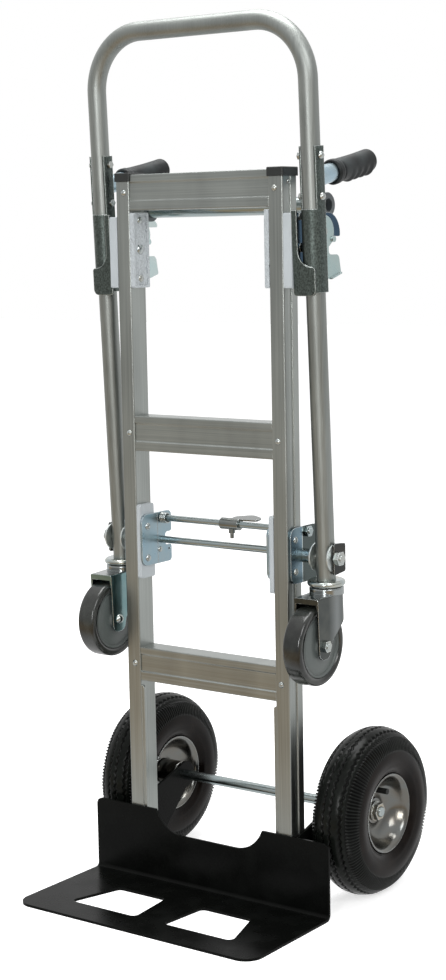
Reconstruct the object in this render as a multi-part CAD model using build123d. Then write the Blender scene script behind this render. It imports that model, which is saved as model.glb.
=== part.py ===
"""Convertible hand truck: an upright two-wheel truck whose loop handle carries two swivel casters.

Millimetres, +Z up. X runs to the right seen from the front, Y to the back. While the solids are drawn,
the rails' front faces lie at y = 0 and the floor at z = 0; save() then moves everything by FRAME_SHIFT,
so that the finished truck is centred on the origin. Pieces of the loop are drawn with a leg upright and
the pivot at the origin, and on_loop() leans them back into place. The right side is drawn and the left
side is its mirror image.
"""
import os
from math import cos, pi, radians, sin, sqrt, tan

from build123d import *

# Rails, end caps and crossbars
RAIL_W = 25.0
RAIL_D = 37.0
RAIL_WALL = 2.2
RAIL_GAP = 258.0
RAIL_FOOT = 10.0
RAIL_TOP = 1097.0
RAIL_EDGE = 2.0
GROOVE_Y = 17.0
GROOVE_W = 9.0
GROOVE_DEPTH = 1.6
LIP_W = 5.0
LIP_D = 4.0
LIP_BELOW_BAR = 8.0
CAP_H = 13.0
CAP_RIM = 2.0
CAP_PLUG = 20.0
BAR_H = 54.0
BAR_WALL = 2.0
BAR_SETBACK = 1.0
BAR_RECESS = 1.6
BAR_UPPER_RIB = 11.0
BAR_LOWER_RIB = 14.0
TOP_BAR_Z = 1080.0
MIDDLE_BAR_Z = 712.5
LOWER_BAR_Z = 348.5
RIVET_D = 10.0
RIVET_H = 2.8
RIVET_INSET = 10.5
CAP_SCREW_DROP = 8.0

# Nose plate
NOSE_W = 445.0
NOSE_T = 4.0
NOSE_H = 118.0
TOE_REACH = 205.0
TOE_CORNER = 28.0
FLANGE_CORNER = 10.0
FOLD_R = 6.0
DIP_Z = 82.5
DIP_HALF = 50.0
DIP_R = 56.0
WINDOW_FRONT = 155.0
WINDOW_BACK = 68.0
WINDOW_FRONT_X = (26.0, 154.0)
WINDOW_BACK_X = (35.0, 126.0)
WINDOW_CORNER = 9.0

# Main wheels, axle and axle brackets
WHEEL_D = 260.0
TYRE_W = 80.0
TYRE_WALL = 8.0
TYRE_SHOULDER = 16.5
TYRE_CROWN = 7.0
TREAD_GROOVES = (6.0, 21.0)
TREAD_GROOVE_W = 3.6
TREAD_DEPTH = 2.6
AXLE_SPACER = 4.2
AXLE_BACK = 143.5
AXLE_D = 16.0
AXLE_END = 3.0
RIM_R = 61.0
RIM_HALF = 33.0
RIM_SHEET = 2.6
HUB_D = 41.0
HUB_IN = 43.0
HUB_OUT = 7.0
VALVE_D = 9.0
VALVE_R = 32.0
VALVE_TIP = 24.0
BRACKET_T = 4.0
BRACKET_BOSS = 22.0
AXLE_WASHER_T = 2.0
AXLE_NUT_H = 8.0
AXLE_NUT_AF = 24.0
BRACKET_BOLT_Z = (34.0, 90.0)

# Upper brackets on the rails; drops are measured from the outer blocks' tops
BLOCK_LOW = 936.0
BLOCK_H = 108.0
INNER_BLOCK_T = 8.0
INNER_BLOCK_EXTRA = 6.0
BLOCK_RIM = 4.0
BLOCK_RECESS = 1.5
OUTER_BLOCK_T = 14.5
BLOCK_BOLT_Y = 17.0
BLOCK_BOLT_RISE = (14.0, 58.0, 102.0)
BLOCK_BOLT_D = (6.0, 8.0, 6.0)
SIDE_PLATE_T = 2.5
SIDE_PLATE_FRONT = 8.0
LOBE_R = 31.0
LOBE_BACK = 125.0
LOBE_CORNER = 3.0
RIGHT_LOBE_DROP = 35.0
LEFT_LOBE_DROP = 16.5
REAR_BAR_D = 26.0
REAR_BAR_WALL = 1.5
REAR_BAR_Y = 99.0
REAR_BAR_DROP = 25.0
BUSH_D = 37.0
BUSH_T = 5.0
BUSH_BORE = 19.0

# Latch levers on the side plates
LATCH_T = 2.5
LATCH_Y = 80.0
LATCH_DROP = 28.0
LATCH_HEAD_R = 24.0
LATCH_PIN_D = 8.0
LATCH_NECK = (14.0, 10.0)
LATCH_TAIL = 42.0
LATCH_TAIL_TOP = 33.5
LATCH_TAIL_LOW = 70.0
LATCH_TAIL_RISE = 8.0
LATCH_LIP = 2.4
LATCH_LIP_START = 15.0
LATCH_STUD = (22.0, 11.0)
LATCH_STUD_D = 9.0

# Lower docks on the rails' inner sides; reaches are below and above the pivot
DOCK_PAD_T = 8.0
DOCK_PAD_REACH = (55.0, 61.0)
DOCK_PAD_BACK = 33.0
DOCK_PLATE_T = 3.2
DOCK_PLATE_REACH = (36.0, 45.0)
DOCK_PLATE_FRONT = -2.0
DOCK_BOLT_Y = 13.0
DOCK_BOLT_D = 6.0
DOCK_BOLT_INSET = (12.0, 19.0)

# Carriage behind the rails; reaches and rises are measured from the pivot
PLATE_T = 3.0
OUTER_PLATE_Y = (4.0, 71.5)
OUTER_PLATE_REACH = (40.0, 44.0)
INNER_PLATE_BACK = 72.5
ROD_Y = 48.0
CROSS_ROD_D = 11.0
CROSS_ROD_RISE = 1.0
RELEASE_ROD_D = 10.0
RELEASE_RISE = 35.5
RELEASE_NUT_AF = 15.0
RELEASE_NUT_H = 5.0
RELEASE_OVER = 2.0
SHOE_INSET = 11.0
CARRIAGE_SCREW_INSET = 18.0
EAR_SCREW = (43.5, -14.5)
EAR_HOLE = (66.0, -16.0)
PIVOT_Y = 40.5
PIVOT_Z = 540.0
PIVOT_D = 11.0
SPACER_D = 21.0
DISC_D = 42.0
DISC_T = 2.3
KEEPER_T = 3.0
KEEPER_DEPTH = (7.5, 23.5)
KEEPER_REACH = (25.0, 23.0)
PIVOT_NUT_AF = 19.5
PIVOT_NUT_H = 8.0
SPRING_WIRE = 2.2
SPRING_R = 7.5
SPRING_PITCH = 2.9
SPRING_TURNS = 4
CLAMP_X = (0.5, 34.0)
CLAMP_D = 18.0
PADDLE_X = (16.0, 64.0)
PADDLE_REACH = 30.0
PADDLE_T = 2.6
PADDLE_TILT = 7.0
CLAMP_SCREW_D = 6.0
CLAMP_SCREW_X = 19.0
CLAMP_SCREW_L = 13.0

# Loop handle; heights along the loop are measured from the pivot
LOOP_LEAN = 2.58
LEG_X = 194.2
TUBE_D = 28.6
TUBE_WALL = 2.0
LOOP_TOP = 779.5
LOOP_BEND = 88.0
LEG_JOINT = 449.0
SLEEVE_T = 2.5
SLEEVE_LOW = 390.0
SLEEVE_RIM = 509.0
SLEEVE_TOP = 598.0
SLEEVE_BACK = 8.0
EAR_FRONT = 9.6
SLEEVE_BOLTS = (526.5, 584.5)
SLEEVE_BOLT_D = 6.0
HOOK_T = 2.8
HOOK_LOW = 386.0
HOOK_TOP = 427.0
HOOK_X = (168.9, 177.5)
HOOK_REACH = 206.0
HOOK_NOTCH_R = 24.0
STRIP_TOP = 508.5
GRIP_RISE = 551.5
GRIP_TILT = 8.3
GRIP_TUBE_D = 28.0
GRIP_START = 52.0
GRIP_END = 158.5
GRIP_D = 35.0
GRIP_COLLAR_D = 40.0
GRIP_COLLAR_L = 12.0
GRIP_BUMPS = 4
GRIP_BUMP_R = 9.0

# Swivel casters; trail is how far the wheel's axle lies in front of the swivel axis
CUP_D = 57.0
CUP_TOP = -33.0
CUP_H = 9.0
CUP_GAP = 0.5
LOWER_CUP_D = 52.0
YOKE_TOP = -51.0
YOKE_T = 3.5
FORK_W = 42.0
FORK_T = 3.0
FORK_FRONT = 56.0
FORK_BACK = 25.0
FORK_SKIRT = 35.0
FORK_LIP = 5.0
FORK_TIP = (15.0, 20.0)
KINGPIN_D = 12.0
KINGPIN_HEAD_D = 19.0
KINGPIN_HEAD_H = 3.5
CASTER_TRAIL = 41.0
CASTER_DROP = 123.5
CASTER_D = 120.0
CASTER_W = 32.0
CASTER_HUB_D = 96.0
CASTER_HUB_W = 35.0
CASTER_BOSS_D = 26.0
CASTER_WEB = 26.0
CASTER_RING_R = 42.5
CASTER_RING_DEPTH = 1.0
CASTER_AXLE_D = 10.0
CASTER_NUT_AF = 16.0
CASTER_NUT_H = 6.0

# Clearances
RUN = 0.06
FREE = 0.3
FIT = 0.1

# Places that follow from the sizes above
RAIL_IN = RAIL_GAP / 2
RAIL_OUT = RAIL_IN + RAIL_W
WHEEL_R = WHEEL_D / 2
AXLE_Z = WHEEL_R
BRACKET_X = RAIL_OUT + BRACKET_T
WHEEL_X = BRACKET_X + AXLE_SPACER + FREE + HUB_IN
BLOCK_Z = (BLOCK_LOW, BLOCK_LOW + BLOCK_H)
BLOCK_BOLTS = [(BLOCK_LOW + rise, d) for rise, d in zip(BLOCK_BOLT_RISE, BLOCK_BOLT_D)]
REAR_BAR_Z = TOP_BAR_Z - REAR_BAR_DROP
LATCH_Z = BLOCK_Z[1] - LATCH_DROP
DOCK_PAD_Z = (PIVOT_Z - DOCK_PAD_REACH[0], PIVOT_Z + DOCK_PAD_REACH[1])
DOCK_PLATE_Z = (PIVOT_Z - DOCK_PLATE_REACH[0], PIVOT_Z + DOCK_PLATE_REACH[1])
OUTER_PLATE_Z = (PIVOT_Z - OUTER_PLATE_REACH[0], PIVOT_Z + OUTER_PLATE_REACH[1])
CROSS_ROD_Z = PIVOT_Z + CROSS_ROD_RISE
RELEASE_Z = PIVOT_Z + RELEASE_RISE
BLOCK_IN = RAIL_IN - INNER_BLOCK_T
BLOCK_OUT = RAIL_OUT + OUTER_BLOCK_T
SIDE_OUT = BLOCK_OUT + SIDE_PLATE_T
DOCK_IN = RAIL_IN - DOCK_PAD_T - DOCK_PLATE_T
OUTER_PLATE_X = RAIL_OUT + FREE
SPACER_X = OUTER_PLATE_X + PLATE_T
TUBE_R = TUBE_D / 2
DISC_X = LEG_X + TUBE_R + FIT
KEEPER_X = DISC_X + DISC_T + FREE
SLEEVE_R = TUBE_R + FIT + SLEEVE_T
CASTER_R = CASTER_D / 2
FRAME_SHIFT = (TOE_REACH - AXLE_BACK - WHEEL_R) / 2


def outline(*corners):
    """Face in the XY plane; each corner is (u, v) or, where it is rounded, (u, v, radius)."""
    points = [Vector(corner[0], corner[1]) for corner in corners]
    bends = []
    for i, corner in enumerate(corners):
        point = points[i]
        if len(corner) == 2:
            bends.append((point, None, point))
            continue
        to_last = (points[i - 1] - point).normalized()
        to_next = (points[(i + 1) % len(points)] - point).normalized()
        half = radians(to_last.get_angle(to_next)) / 2
        reach = corner[2] / tan(half)
        middle = (to_last + to_next).normalized()
        depth = corner[2] / sin(half) - corner[2]
        bends.append((point + to_last * reach, point + middle * depth, point + to_next * reach))
    edges = []
    for i, (start, middle, end) in enumerate(bends):
        if middle is not None:
            edges.append(ThreePointArc(start, middle, end))
        edges.append(Line(end, bends[(i + 1) % len(bends)][0]))
    return make_face(edges)


def plate_x(x0, x1, *corners):
    """Plate from x0 to x1 with its outline given in (y, z)."""
    return Pos(x0, 0, 0) * extrude(Plane.YZ * outline(*corners), x1 - x0)


def plate_y(y0, y1, *corners):
    """Plate from y0 to y1 with its outline given in (x, z)."""
    return Pos(0, y1, 0) * extrude(Plane.XZ * outline(*corners), y1 - y0)


def plate_z(z0, z1, *corners):
    """Plate from z0 to z1 with its outline given in (x, y)."""
    return Pos(0, 0, z0) * extrude(outline(*corners), z1 - z0)


def block(x0, x1, y0, y1, z0, z1):
    """Box between two corners."""
    return Pos((x0 + x1) / 2, (y0 + y1) / 2, (z0 + z1) / 2) * Box(x1 - x0, y1 - y0, z1 - z0)


def rod_x(x0, x1, y, z, d):
    """Round bar along X."""
    return Pos((x0 + x1) / 2, y, z) * Rot(0, 90, 0) * Cylinder(d / 2, x1 - x0)


def rod_z(x, y, z0, z1, d):
    """Round bar along Z."""
    return Pos(x, y, (z0 + z1) / 2) * Cylinder(d / 2, z1 - z0)


def ring_x(x0, x1, y, z, d, bore):
    """Washer, spacer or bush along X."""
    return rod_x(x0, x1, y, z, d) - rod_x(x0 - 1, x1 + 1, y, z, bore)


def hex_x(x0, x1, y, z, flats, bore):
    """Nut along X, measured across its flats."""
    face = RegularPolygon(flats / 2, 6, major_radius=False)
    return Pos(x0, y, z) * extrude(Plane.YZ * face, x1 - x0) - rod_x(x0 - 1, x1 + 1, y, z, bore)


def dome(d, h):
    """Low round head of diameter d and height h, its flat side at z = 0."""
    ball_r = (d * d / 4 + h * h) / (2 * h)
    return Pos(0, 0, h - ball_r) * Sphere(ball_r) & Pos(0, 0, h / 2) * Box(2 * d, 2 * d, h)


def button(seat, tip, y, z, head_d, head_h, shank_d):
    """Round-headed bolt along X from its seat to its tip; the head points away from the tip."""
    turn = 90 if seat > tip else -90
    head = Pos(seat, y, z) * Rot(0, turn, 0) * dome(head_d, head_h)
    return head + rod_x(min(seat, tip), max(seat, tip), y, z, shank_d)


def turned(x, *profile):
    """Solid turned about an X axle: a closed profile of (offset along X from x, radius) points."""
    face = make_face(Polyline(*profile, close=True))
    return Pos(x, 0, 0) * revolve(face, Axis.X)


def left(shape):
    """Mirror image on the left side."""
    return mirror(shape, about=Plane.YZ)


def both(*shapes):
    """Right-hand solids and their mirror images as one group."""
    return list(shapes) + [left(shape) for shape in shapes]


def on_axle(shape):
    """Move a solid that is drawn about the X axis to the main axle."""
    return Pos(0, AXLE_BACK, AXLE_Z) * shape


def on_loop(shape):
    """Lean a solid that is drawn about an upright leg, and set it on the pivot."""
    return Pos(0, PIVOT_Y, PIVOT_Z) * Rot(LOOP_LEAN, 0, 0) * shape


def save(name, *shapes):
    """Write one node, one or more solids, in the finished truck's frame."""
    moved = [Pos(0, FRAME_SHIFT, 0) * shape for shape in shapes]
    export_step(moved[0] if len(moved) == 1 else Compound(children=moved), f"parts/{name}.step")


def rail_bolts():
    """Places of the bolts through the right rail: (y, z, shank diameter)."""
    dock = [DOCK_PLATE_Z[0] + DOCK_BOLT_INSET[0], DOCK_PLATE_Z[1] - DOCK_BOLT_INSET[1]]
    through = [(BLOCK_BOLT_Y, z, d) for z, d in BLOCK_BOLTS]
    inner = [(DOCK_BOLT_Y, z, DOCK_BOLT_D) for z in dock]
    outer = [(GROOVE_Y, z, DOCK_BOLT_D) for z in BRACKET_BOLT_Z]
    return through, inner, outer


def rail():
    """Hollow extrusion with a groove down its outer side and a lip below the lower crossbar."""
    groove = (GROOVE_Y - GROOVE_W / 2, GROOVE_Y + GROOVE_W / 2)
    floor = RAIL_OUT - GROOVE_DEPTH
    section = outline(
        (RAIL_IN, 0, RAIL_EDGE), (RAIL_OUT, 0, RAIL_EDGE), (RAIL_OUT, groove[0]), (floor, groove[0]),
        (floor, groove[1]), (RAIL_OUT, groove[1]), (RAIL_OUT, RAIL_D, RAIL_EDGE), (RAIL_IN, RAIL_D, RAIL_EDGE))
    body = extrude(Pos(0, 0, RAIL_FOOT) * section, RAIL_TOP - RAIL_FOOT)
    lip_top = LOWER_BAR_Z - BAR_H / 2 - LIP_BELOW_BAR
    body += plate_y(
        RAIL_EDGE, RAIL_EDGE + LIP_D, (RAIL_IN - LIP_W, RAIL_FOOT), (RAIL_IN + RAIL_WALL, RAIL_FOOT),
        (RAIL_IN + RAIL_WALL, lip_top), (RAIL_IN - LIP_W, lip_top, LIP_W * 0.8))
    body -= rail_bore(0)
    through, inner, outer = rail_bolts()
    for y, z, d in through:
        body -= rod_x(RAIL_IN - 1, RAIL_OUT + 1, y, z, d + 2 * FIT)
    for y, z, d in inner:
        body -= rod_x(RAIL_IN - 1, RAIL_IN + RAIL_WALL + 1, y, z, d + 2 * FIT)
    for y, z, d in outer:
        body -= rod_x(RAIL_OUT - GROOVE_DEPTH - RAIL_WALL - 1, RAIL_OUT + 1, y, z, d + 2 * FIT)
    return body


def rail_bore(inset):
    """The rail's hollow, drawn smaller by the inset; also the form of the cap's plug."""
    wall = RAIL_WALL + inset
    far = RAIL_OUT - GROOVE_DEPTH - wall
    return block(RAIL_IN + wall, far, wall, RAIL_D - wall, RAIL_FOOT - 1, RAIL_TOP + 1)


def rail_cap():
    """Plastic cap on a rail, with a plug in the rail's hollow."""
    head = block(
        RAIL_IN - CAP_RIM, RAIL_OUT + CAP_RIM, -CAP_RIM, RAIL_D + CAP_RIM, RAIL_TOP, RAIL_TOP + CAP_H)
    head = fillet(head.edges().filter_by(Axis.Z) + head.edges().group_by(Axis.Z)[-1], CAP_RIM * 0.9)
    plug = rail_bore(FIT) & block(RAIL_IN, RAIL_OUT, 0, RAIL_D, RAIL_TOP - CAP_PLUG, RAIL_TOP)
    return head + plug


def crossbar(middle):
    """Hollow bar between the rails with a recessed band along its front."""
    z0, z1 = middle - BAR_H / 2, middle + BAR_H / 2
    front, back = BAR_SETBACK, RAIL_D - BAR_SETBACK
    deep = front + BAR_RECESS
    bar = plate_x(
        -RAIL_IN, RAIL_IN, (front, z0, 1.5), (back, z0, 1.5), (back, z1, 1.5), (front, z1, 1.5),
        (front, z1 - BAR_UPPER_RIB, 0.8), (deep, z1 - BAR_UPPER_RIB - BAR_RECESS, 0.8),
        (deep, z0 + BAR_LOWER_RIB + BAR_RECESS, 0.8), (front, z0 + BAR_LOWER_RIB, 0.8))
    hollow = block(
        -RAIL_IN - 1, RAIL_IN + 1, deep + BAR_WALL, back - BAR_WALL, z0 + BAR_WALL, z1 - BAR_WALL)
    cap = block(RAIL_IN - CAP_RIM - FIT, RAIL_IN + 1, -RAIL_D, 2 * RAIL_D, RAIL_TOP - FIT, RAIL_TOP + CAP_H)
    return bar - hollow - cap - left(cap)


def front_rivet(z):
    """Round rivet head on the right rail's front face."""
    return Pos(RAIL_IN + RIVET_INSET, 0, z) * Rot(90, 0, 0) * dome(RIVET_D, RIVET_H)


def cap_screw():
    """Screw head on the floor of the rail's groove, below the cap."""
    place = Pos(RAIL_OUT - GROOVE_DEPTH, GROOVE_Y, RAIL_TOP - CAP_SCREW_DROP)
    return place * Rot(0, 90, 0) * dome(GROOVE_W * 0.85, RIVET_H)


def nose_plate():
    """Bent sheet: a toe on the floor and a flange in front of the rails."""
    half = NOSE_W / 2
    sheet = plate_x(
        -half, half, (-TOE_REACH, 0), (0, 0, FOLD_R + NOSE_T), (0, NOSE_H), (-NOSE_T, NOSE_H),
        (-NOSE_T, NOSE_T, FOLD_R), (-TOE_REACH, NOSE_T))
    sheet = fillet(sheet.edges().filter_by(Axis.Z).group_by(Axis.Y)[0], TOE_CORNER)
    sheet = fillet(sheet.edges().filter_by(Axis.Y).group_by(Axis.Z)[-1], FLANGE_CORNER)
    dip = block(-DIP_HALF, DIP_HALF, -2 * NOSE_T, NOSE_T, DIP_Z, DIP_Z + 2 * DIP_R)
    for side in (-DIP_HALF, DIP_HALF):
        dip += Pos(side, -NOSE_T / 2, DIP_Z + DIP_R) * Rot(90, 0, 0) * Cylinder(DIP_R, 3 * NOSE_T)
    window = plate_z(
        -1, NOSE_T + 1, (WINDOW_FRONT_X[0], -WINDOW_FRONT, WINDOW_CORNER),
        (WINDOW_FRONT_X[1], -WINDOW_FRONT, WINDOW_CORNER), (WINDOW_BACK_X[1], -WINDOW_BACK, WINDOW_CORNER),
        (WINDOW_BACK_X[0], -WINDOW_BACK, WINDOW_CORNER))
    return sheet - dip - window - left(window)


def axle_bracket():
    """Triangular plate from the nose plate's flange back to the axle."""
    drop = BRACKET_BOSS * 0.98
    plate = plate_x(
        RAIL_OUT, BRACKET_X, (0, RAIL_FOOT, 2), (0, NOSE_H - 6, 5), (RAIL_D * 0.6, NOSE_H - 2, 20),
        (AXLE_BACK, AXLE_Z + drop), (AXLE_BACK, AXLE_Z - drop), (RAIL_D + 8, RAIL_FOOT, 12))
    plate += rod_x(RAIL_OUT, BRACKET_X, AXLE_BACK, AXLE_Z, 2 * BRACKET_BOSS)
    plate -= rod_x(RAIL_OUT - 1, BRACKET_X + 1, AXLE_BACK, AXLE_Z, AXLE_D + 2 * FIT)
    for y, z, d in rail_bolts()[2]:
        plate -= rod_x(RAIL_OUT - 1, BRACKET_X + 1, y, z, d + 2 * FIT)
    return plate


def bracket_bolts():
    """Round-headed bolts that hold an axle bracket on its rail."""
    tip = RAIL_OUT - GROOVE_DEPTH - RAIL_WALL - 2
    return [button(BRACKET_X, tip, y, z, 12, 3.5, d) for y, z, d in rail_bolts()[2]]


def axle():
    """Round bar through both brackets and both wheels."""
    end = WHEEL_X + HUB_OUT + FREE + AXLE_WASHER_T + AXLE_NUT_H + AXLE_END
    bar = rod_x(-end, end, 0, 0, AXLE_D)
    return on_axle(chamfer(bar.edges().filter_by(GeomType.CIRCLE), 1.5))


def axle_nuts():
    """Spacer, washer and nut of the right wheel."""
    inner, outer = WHEEL_X - HUB_IN - FREE, WHEEL_X + HUB_OUT + FREE
    nut = outer + AXLE_WASHER_T
    bore = AXLE_D + 2 * FIT
    spacer = ring_x(BRACKET_X, inner, 0, 0, AXLE_D * 1.7, bore)
    washer = ring_x(outer, nut, 0, 0, AXLE_D * 1.9, bore)
    return [on_axle(piece) for piece in (spacer, washer, hex_x(nut, nut + AXLE_NUT_H, 0, 0, AXLE_NUT_AF, bore))]


def rim_profile():
    """Outer and inner edges of one rim half, from the middle plane out to the lip."""
    deep = HUB_D / 2
    bowl = [(RIM_SHEET, deep - 1), (RIM_SHEET, 0.5 * RIM_R), (5.5, 0.63 * RIM_R), (12, 0.75 * RIM_R),
            (22, 0.84 * RIM_R), (RIM_HALF - 3.5, 0.9 * RIM_R), (RIM_HALF, RIM_R - 1.5)]
    lip = [(RIM_HALF - 0.3, RIM_R), (RIM_HALF - RIM_SHEET, RIM_R)]
    bed = [(RIM_HALF - RIM_SHEET - 1.4, 0.9 * RIM_R + 2.4), (20, 0.84 * RIM_R + 2.0),
           (10, 0.75 * RIM_R + 2.0), (3, 0.63 * RIM_R + 2.0), (0, 0.55 * RIM_R)]
    return bowl, lip, bed


def rim():
    """Two dished steel halves on a hub tube with bores for the axle."""
    bowl, lip, bed = rim_profile()
    foot = HUB_D / 2 - 1
    face = make_face([
        Line((0, foot), bowl[0]), Spline(*bowl), Polyline(bowl[-1], *lip), Spline(lip[-1], *bed),
        Line(bed[-1], (0, foot))])
    half = revolve(face, Axis.X)
    hub = rod_x(-HUB_IN, HUB_OUT, 0, 0, HUB_D)
    hub = chamfer(hub.edges().filter_by(GeomType.CIRCLE), 1.2)
    wheel = half + left(half) + hub
    wheel -= rod_x(-HUB_IN - 1, HUB_OUT + 1, 0, 0, AXLE_D + 2 * RUN)
    wheel -= valve_stem(FIT)
    return on_axle(Pos(WHEEL_X, 0, 0) * wheel)


def valve_stem(gap):
    """Valve stem in the outer dish, thicker by the gap for its hole."""
    lean = 0.3
    y, z = VALVE_R * lean, VALVE_R * sqrt(1 - lean * lean)
    return rod_x(RIM_SHEET / 2 - gap, VALVE_TIP, y, z, VALVE_D + 2 * gap)


def tyre():
    """Pneumatic tyre seated on the rim, open towards it."""
    half, wall = TYRE_W / 2, TYRE_WALL
    shoulder = (half - TYRE_SHOULDER, WHEEL_R - TYRE_CROWN)
    outer = [(RIM_HALF - 1.5, RIM_R + 1.0), (half - 3, RIM_R + 9), (half, RIM_R + 25),
             (half - 3, RIM_R + 41.5), (half - 8.7, WHEEL_R - 15), shoulder]
    inner = [(half - wall - TYRE_SHOULDER, WHEEL_R - TYRE_CROWN - wall), (half - wall - 3.5, RIM_R + 37),
             (half - wall, RIM_R + 25), (half - wall - 4, RIM_R + 12), (RIM_HALF - 11, RIM_R + 1)]
    seat = [(RIM_HALF - 10, RIM_R - 2.2), (RIM_HALF - 5, RIM_R - 1.2)]
    face = make_face([
        Spline(*outer), TangentArc((0, WHEEL_R), shoulder, tangent=(1, 0)),
        Line((0, WHEEL_R), (0, WHEEL_R - wall)), TangentArc((0, WHEEL_R - wall), inner[0], tangent=(1, 0)),
        Spline(*inner), Polyline(inner[-1], *seat, outer[0])])
    side = revolve(face, Axis.X)
    for x in TREAD_GROOVES:
        side -= tread_groove(x)
    return on_axle(Pos(WHEEL_X, 0, 0) * (side + left(side)))


def tread_groove(x):
    """Ring that cuts one groove round the tyre's crown, narrower at its floor."""
    top, half = WHEEL_R - TYRE_CROWN * (x / (TYRE_W / 2 - TYRE_SHOULDER)) ** 2, TREAD_GROOVE_W / 2
    floor = top - TREAD_DEPTH
    return turned(x, (-half, top + 2), (-half * 0.6, floor), (half * 0.6, floor), (half, top + 2))


def inner_block():
    """Plastic block on the rail's inner side with a rimmed, recessed panel."""
    z0, z1 = BLOCK_Z[0], BLOCK_Z[1] + INNER_BLOCK_EXTRA
    body = plate_x(BLOCK_IN, RAIL_IN, (0, z0, 3), (RAIL_D, z0, 3), (RAIL_D, z1, 3), (0, z1, 3))
    rim = BLOCK_RIM
    body -= plate_x(
        BLOCK_IN - 1, BLOCK_IN + BLOCK_RECESS, (rim, z0 + rim, 2), (RAIL_D - rim, z0 + rim, 2),
        (RAIL_D - rim, z1 - rim, 2), (rim, z1 - rim, 2))
    for z, d in BLOCK_BOLTS:
        body -= rod_x(BLOCK_IN - 1, RAIL_IN + 1, BLOCK_BOLT_Y, z, d + 2 * FIT)
    return body


def outer_block():
    """Plastic block between the rail's outer side and the side plate."""
    z0, z1 = BLOCK_Z
    body = plate_x(RAIL_OUT, BLOCK_OUT, (0, z0, 3), (RAIL_D, z0, 3), (RAIL_D, z1, 3), (0, z1, 3))
    for z, d in BLOCK_BOLTS:
        body -= rod_x(RAIL_OUT - 1, BLOCK_OUT + 1, BLOCK_BOLT_Y, z, d + 2 * FIT)
    return body


def block_bolts():
    """Bolts through both blocks, the rail and the side plate, with their nuts."""
    seat = BLOCK_IN + BLOCK_RECESS
    pieces = []
    for z, d in BLOCK_BOLTS:
        nut_h = 0.6 * d
        pieces.append(button(seat, SIDE_OUT + nut_h, BLOCK_BOLT_Y, z, 2 * d, 0.5 * d, d))
        pieces.append(hex_x(SIDE_OUT, SIDE_OUT + nut_h, BLOCK_BOLT_Y, z, 1.65 * d, d + 2 * FIT))
    return pieces


def side_plate(drop):
    """Zinc plate on the outer block; the lobe at its back carries bar and latch and is cut off at the drop."""
    z0, z1 = BLOCK_Z
    pin = LATCH_PIN_D
    low = LATCH_Z - 1.4 * pin
    plate = plate_x(
        BLOCK_OUT, SIDE_OUT, (SIDE_PLATE_FRONT, z0, 3), (SIDE_PLATE_FRONT, z1, 3), (LOBE_BACK, z1, LOBE_R),
        (LOBE_BACK, low), (LATCH_Y + pin, low, 4), (LATCH_Y - pin, low - pin, 6), (RAIL_D, low - 3 * pin, 8),
        (RAIL_D, z0, 3))
    plate -= block(BLOCK_OUT - 1, SIDE_OUT + 1, LATCH_Y + 2 * pin, LOBE_BACK + 1, z0, z1 - drop)
    plate = fillet(plate.edges().filter_by(Axis.X).group_by(Axis.Y)[-1].sort_by(Axis.Z)[0], LOBE_CORNER)
    for z, d in BLOCK_BOLTS:
        plate -= rod_x(BLOCK_OUT - 1, SIDE_OUT + 1, BLOCK_BOLT_Y, z, d + 2 * FIT)
    return plate - rod_x(BLOCK_OUT - 1, SIDE_OUT + 1, LATCH_Y, LATCH_Z, pin + 2 * FIT)


def rear_bar():
    """Tube behind the top crossbar, from bush to bush."""
    end = BLOCK_OUT - BUSH_T
    return ring_x(-end, end, REAR_BAR_Y, REAR_BAR_Z, REAR_BAR_D, REAR_BAR_D - 2 * REAR_BAR_WALL)


def bar_bush():
    """Flanged plug in the bar's end, face to face with the side plate's lobe."""
    end = BLOCK_OUT - BUSH_T
    spigot = REAR_BAR_D - 2 * REAR_BAR_WALL - 2 * FIT
    flange = rod_x(end, BLOCK_OUT, REAR_BAR_Y, REAR_BAR_Z, BUSH_D)
    flange = chamfer(flange.edges().filter_by(GeomType.CIRCLE).group_by(Axis.X)[-1], 1.5)
    plug = flange + rod_x(end - 2 * BUSH_T, end, REAR_BAR_Y, REAR_BAR_Z, spigot)
    return plug - rod_x(end - 2 * BUSH_T - 1, BLOCK_OUT + 1, REAR_BAR_Y, REAR_BAR_Z, BUSH_BORE)


def latch_pin():
    """Headed pin that a latch lever turns on, fixed in the side plate."""
    end = SIDE_OUT + 2 * FREE + LATCH_T
    return button(end, BLOCK_OUT, LATCH_Y, LATCH_Z, 1.7 * LATCH_PIN_D, 1.5, LATCH_PIN_D)


def latch():
    """Lever with a round head on its pin, a stud beside it, a tail towards the back and a lip to pull."""
    x0 = SIDE_OUT + FREE
    x1 = x0 + LATCH_T
    front, neck = LATCH_Y - LATCH_NECK[0], LATCH_Y + LATCH_NECK[1]
    tail, start = LATCH_Y + LATCH_TAIL, LATCH_Y + LATCH_LIP_START
    low, high = LATCH_Z - LATCH_TAIL_LOW, LATCH_Z - LATCH_TAIL_TOP
    end = low + LATCH_TAIL_RISE
    plate = plate_x(
        x0, x1, (front, LATCH_Z), (front, low + 6, 9), (start, low, 2), (tail + 1, end, 3), (tail - 5, high, 8),
        (neck, high, 6), (neck, LATCH_Z))
    plate += rod_x(x0, x1, LATCH_Y, LATCH_Z, 2 * LATCH_HEAD_R)
    lip = plate_x(x1, x1 + LATCH_LIP, (start, low + 0.2), (tail, end), (tail, end + 2.5), (start, low + 2.7))
    stud = rod_x(x0, x1 + LATCH_LIP, LATCH_Y + LATCH_STUD[0], LATCH_Z - LATCH_STUD[1], LATCH_STUD_D)
    return plate + lip + stud - rod_x(x0 - 1, x1 + 1, LATCH_Y, LATCH_Z, LATCH_PIN_D + 2 * RUN)


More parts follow.
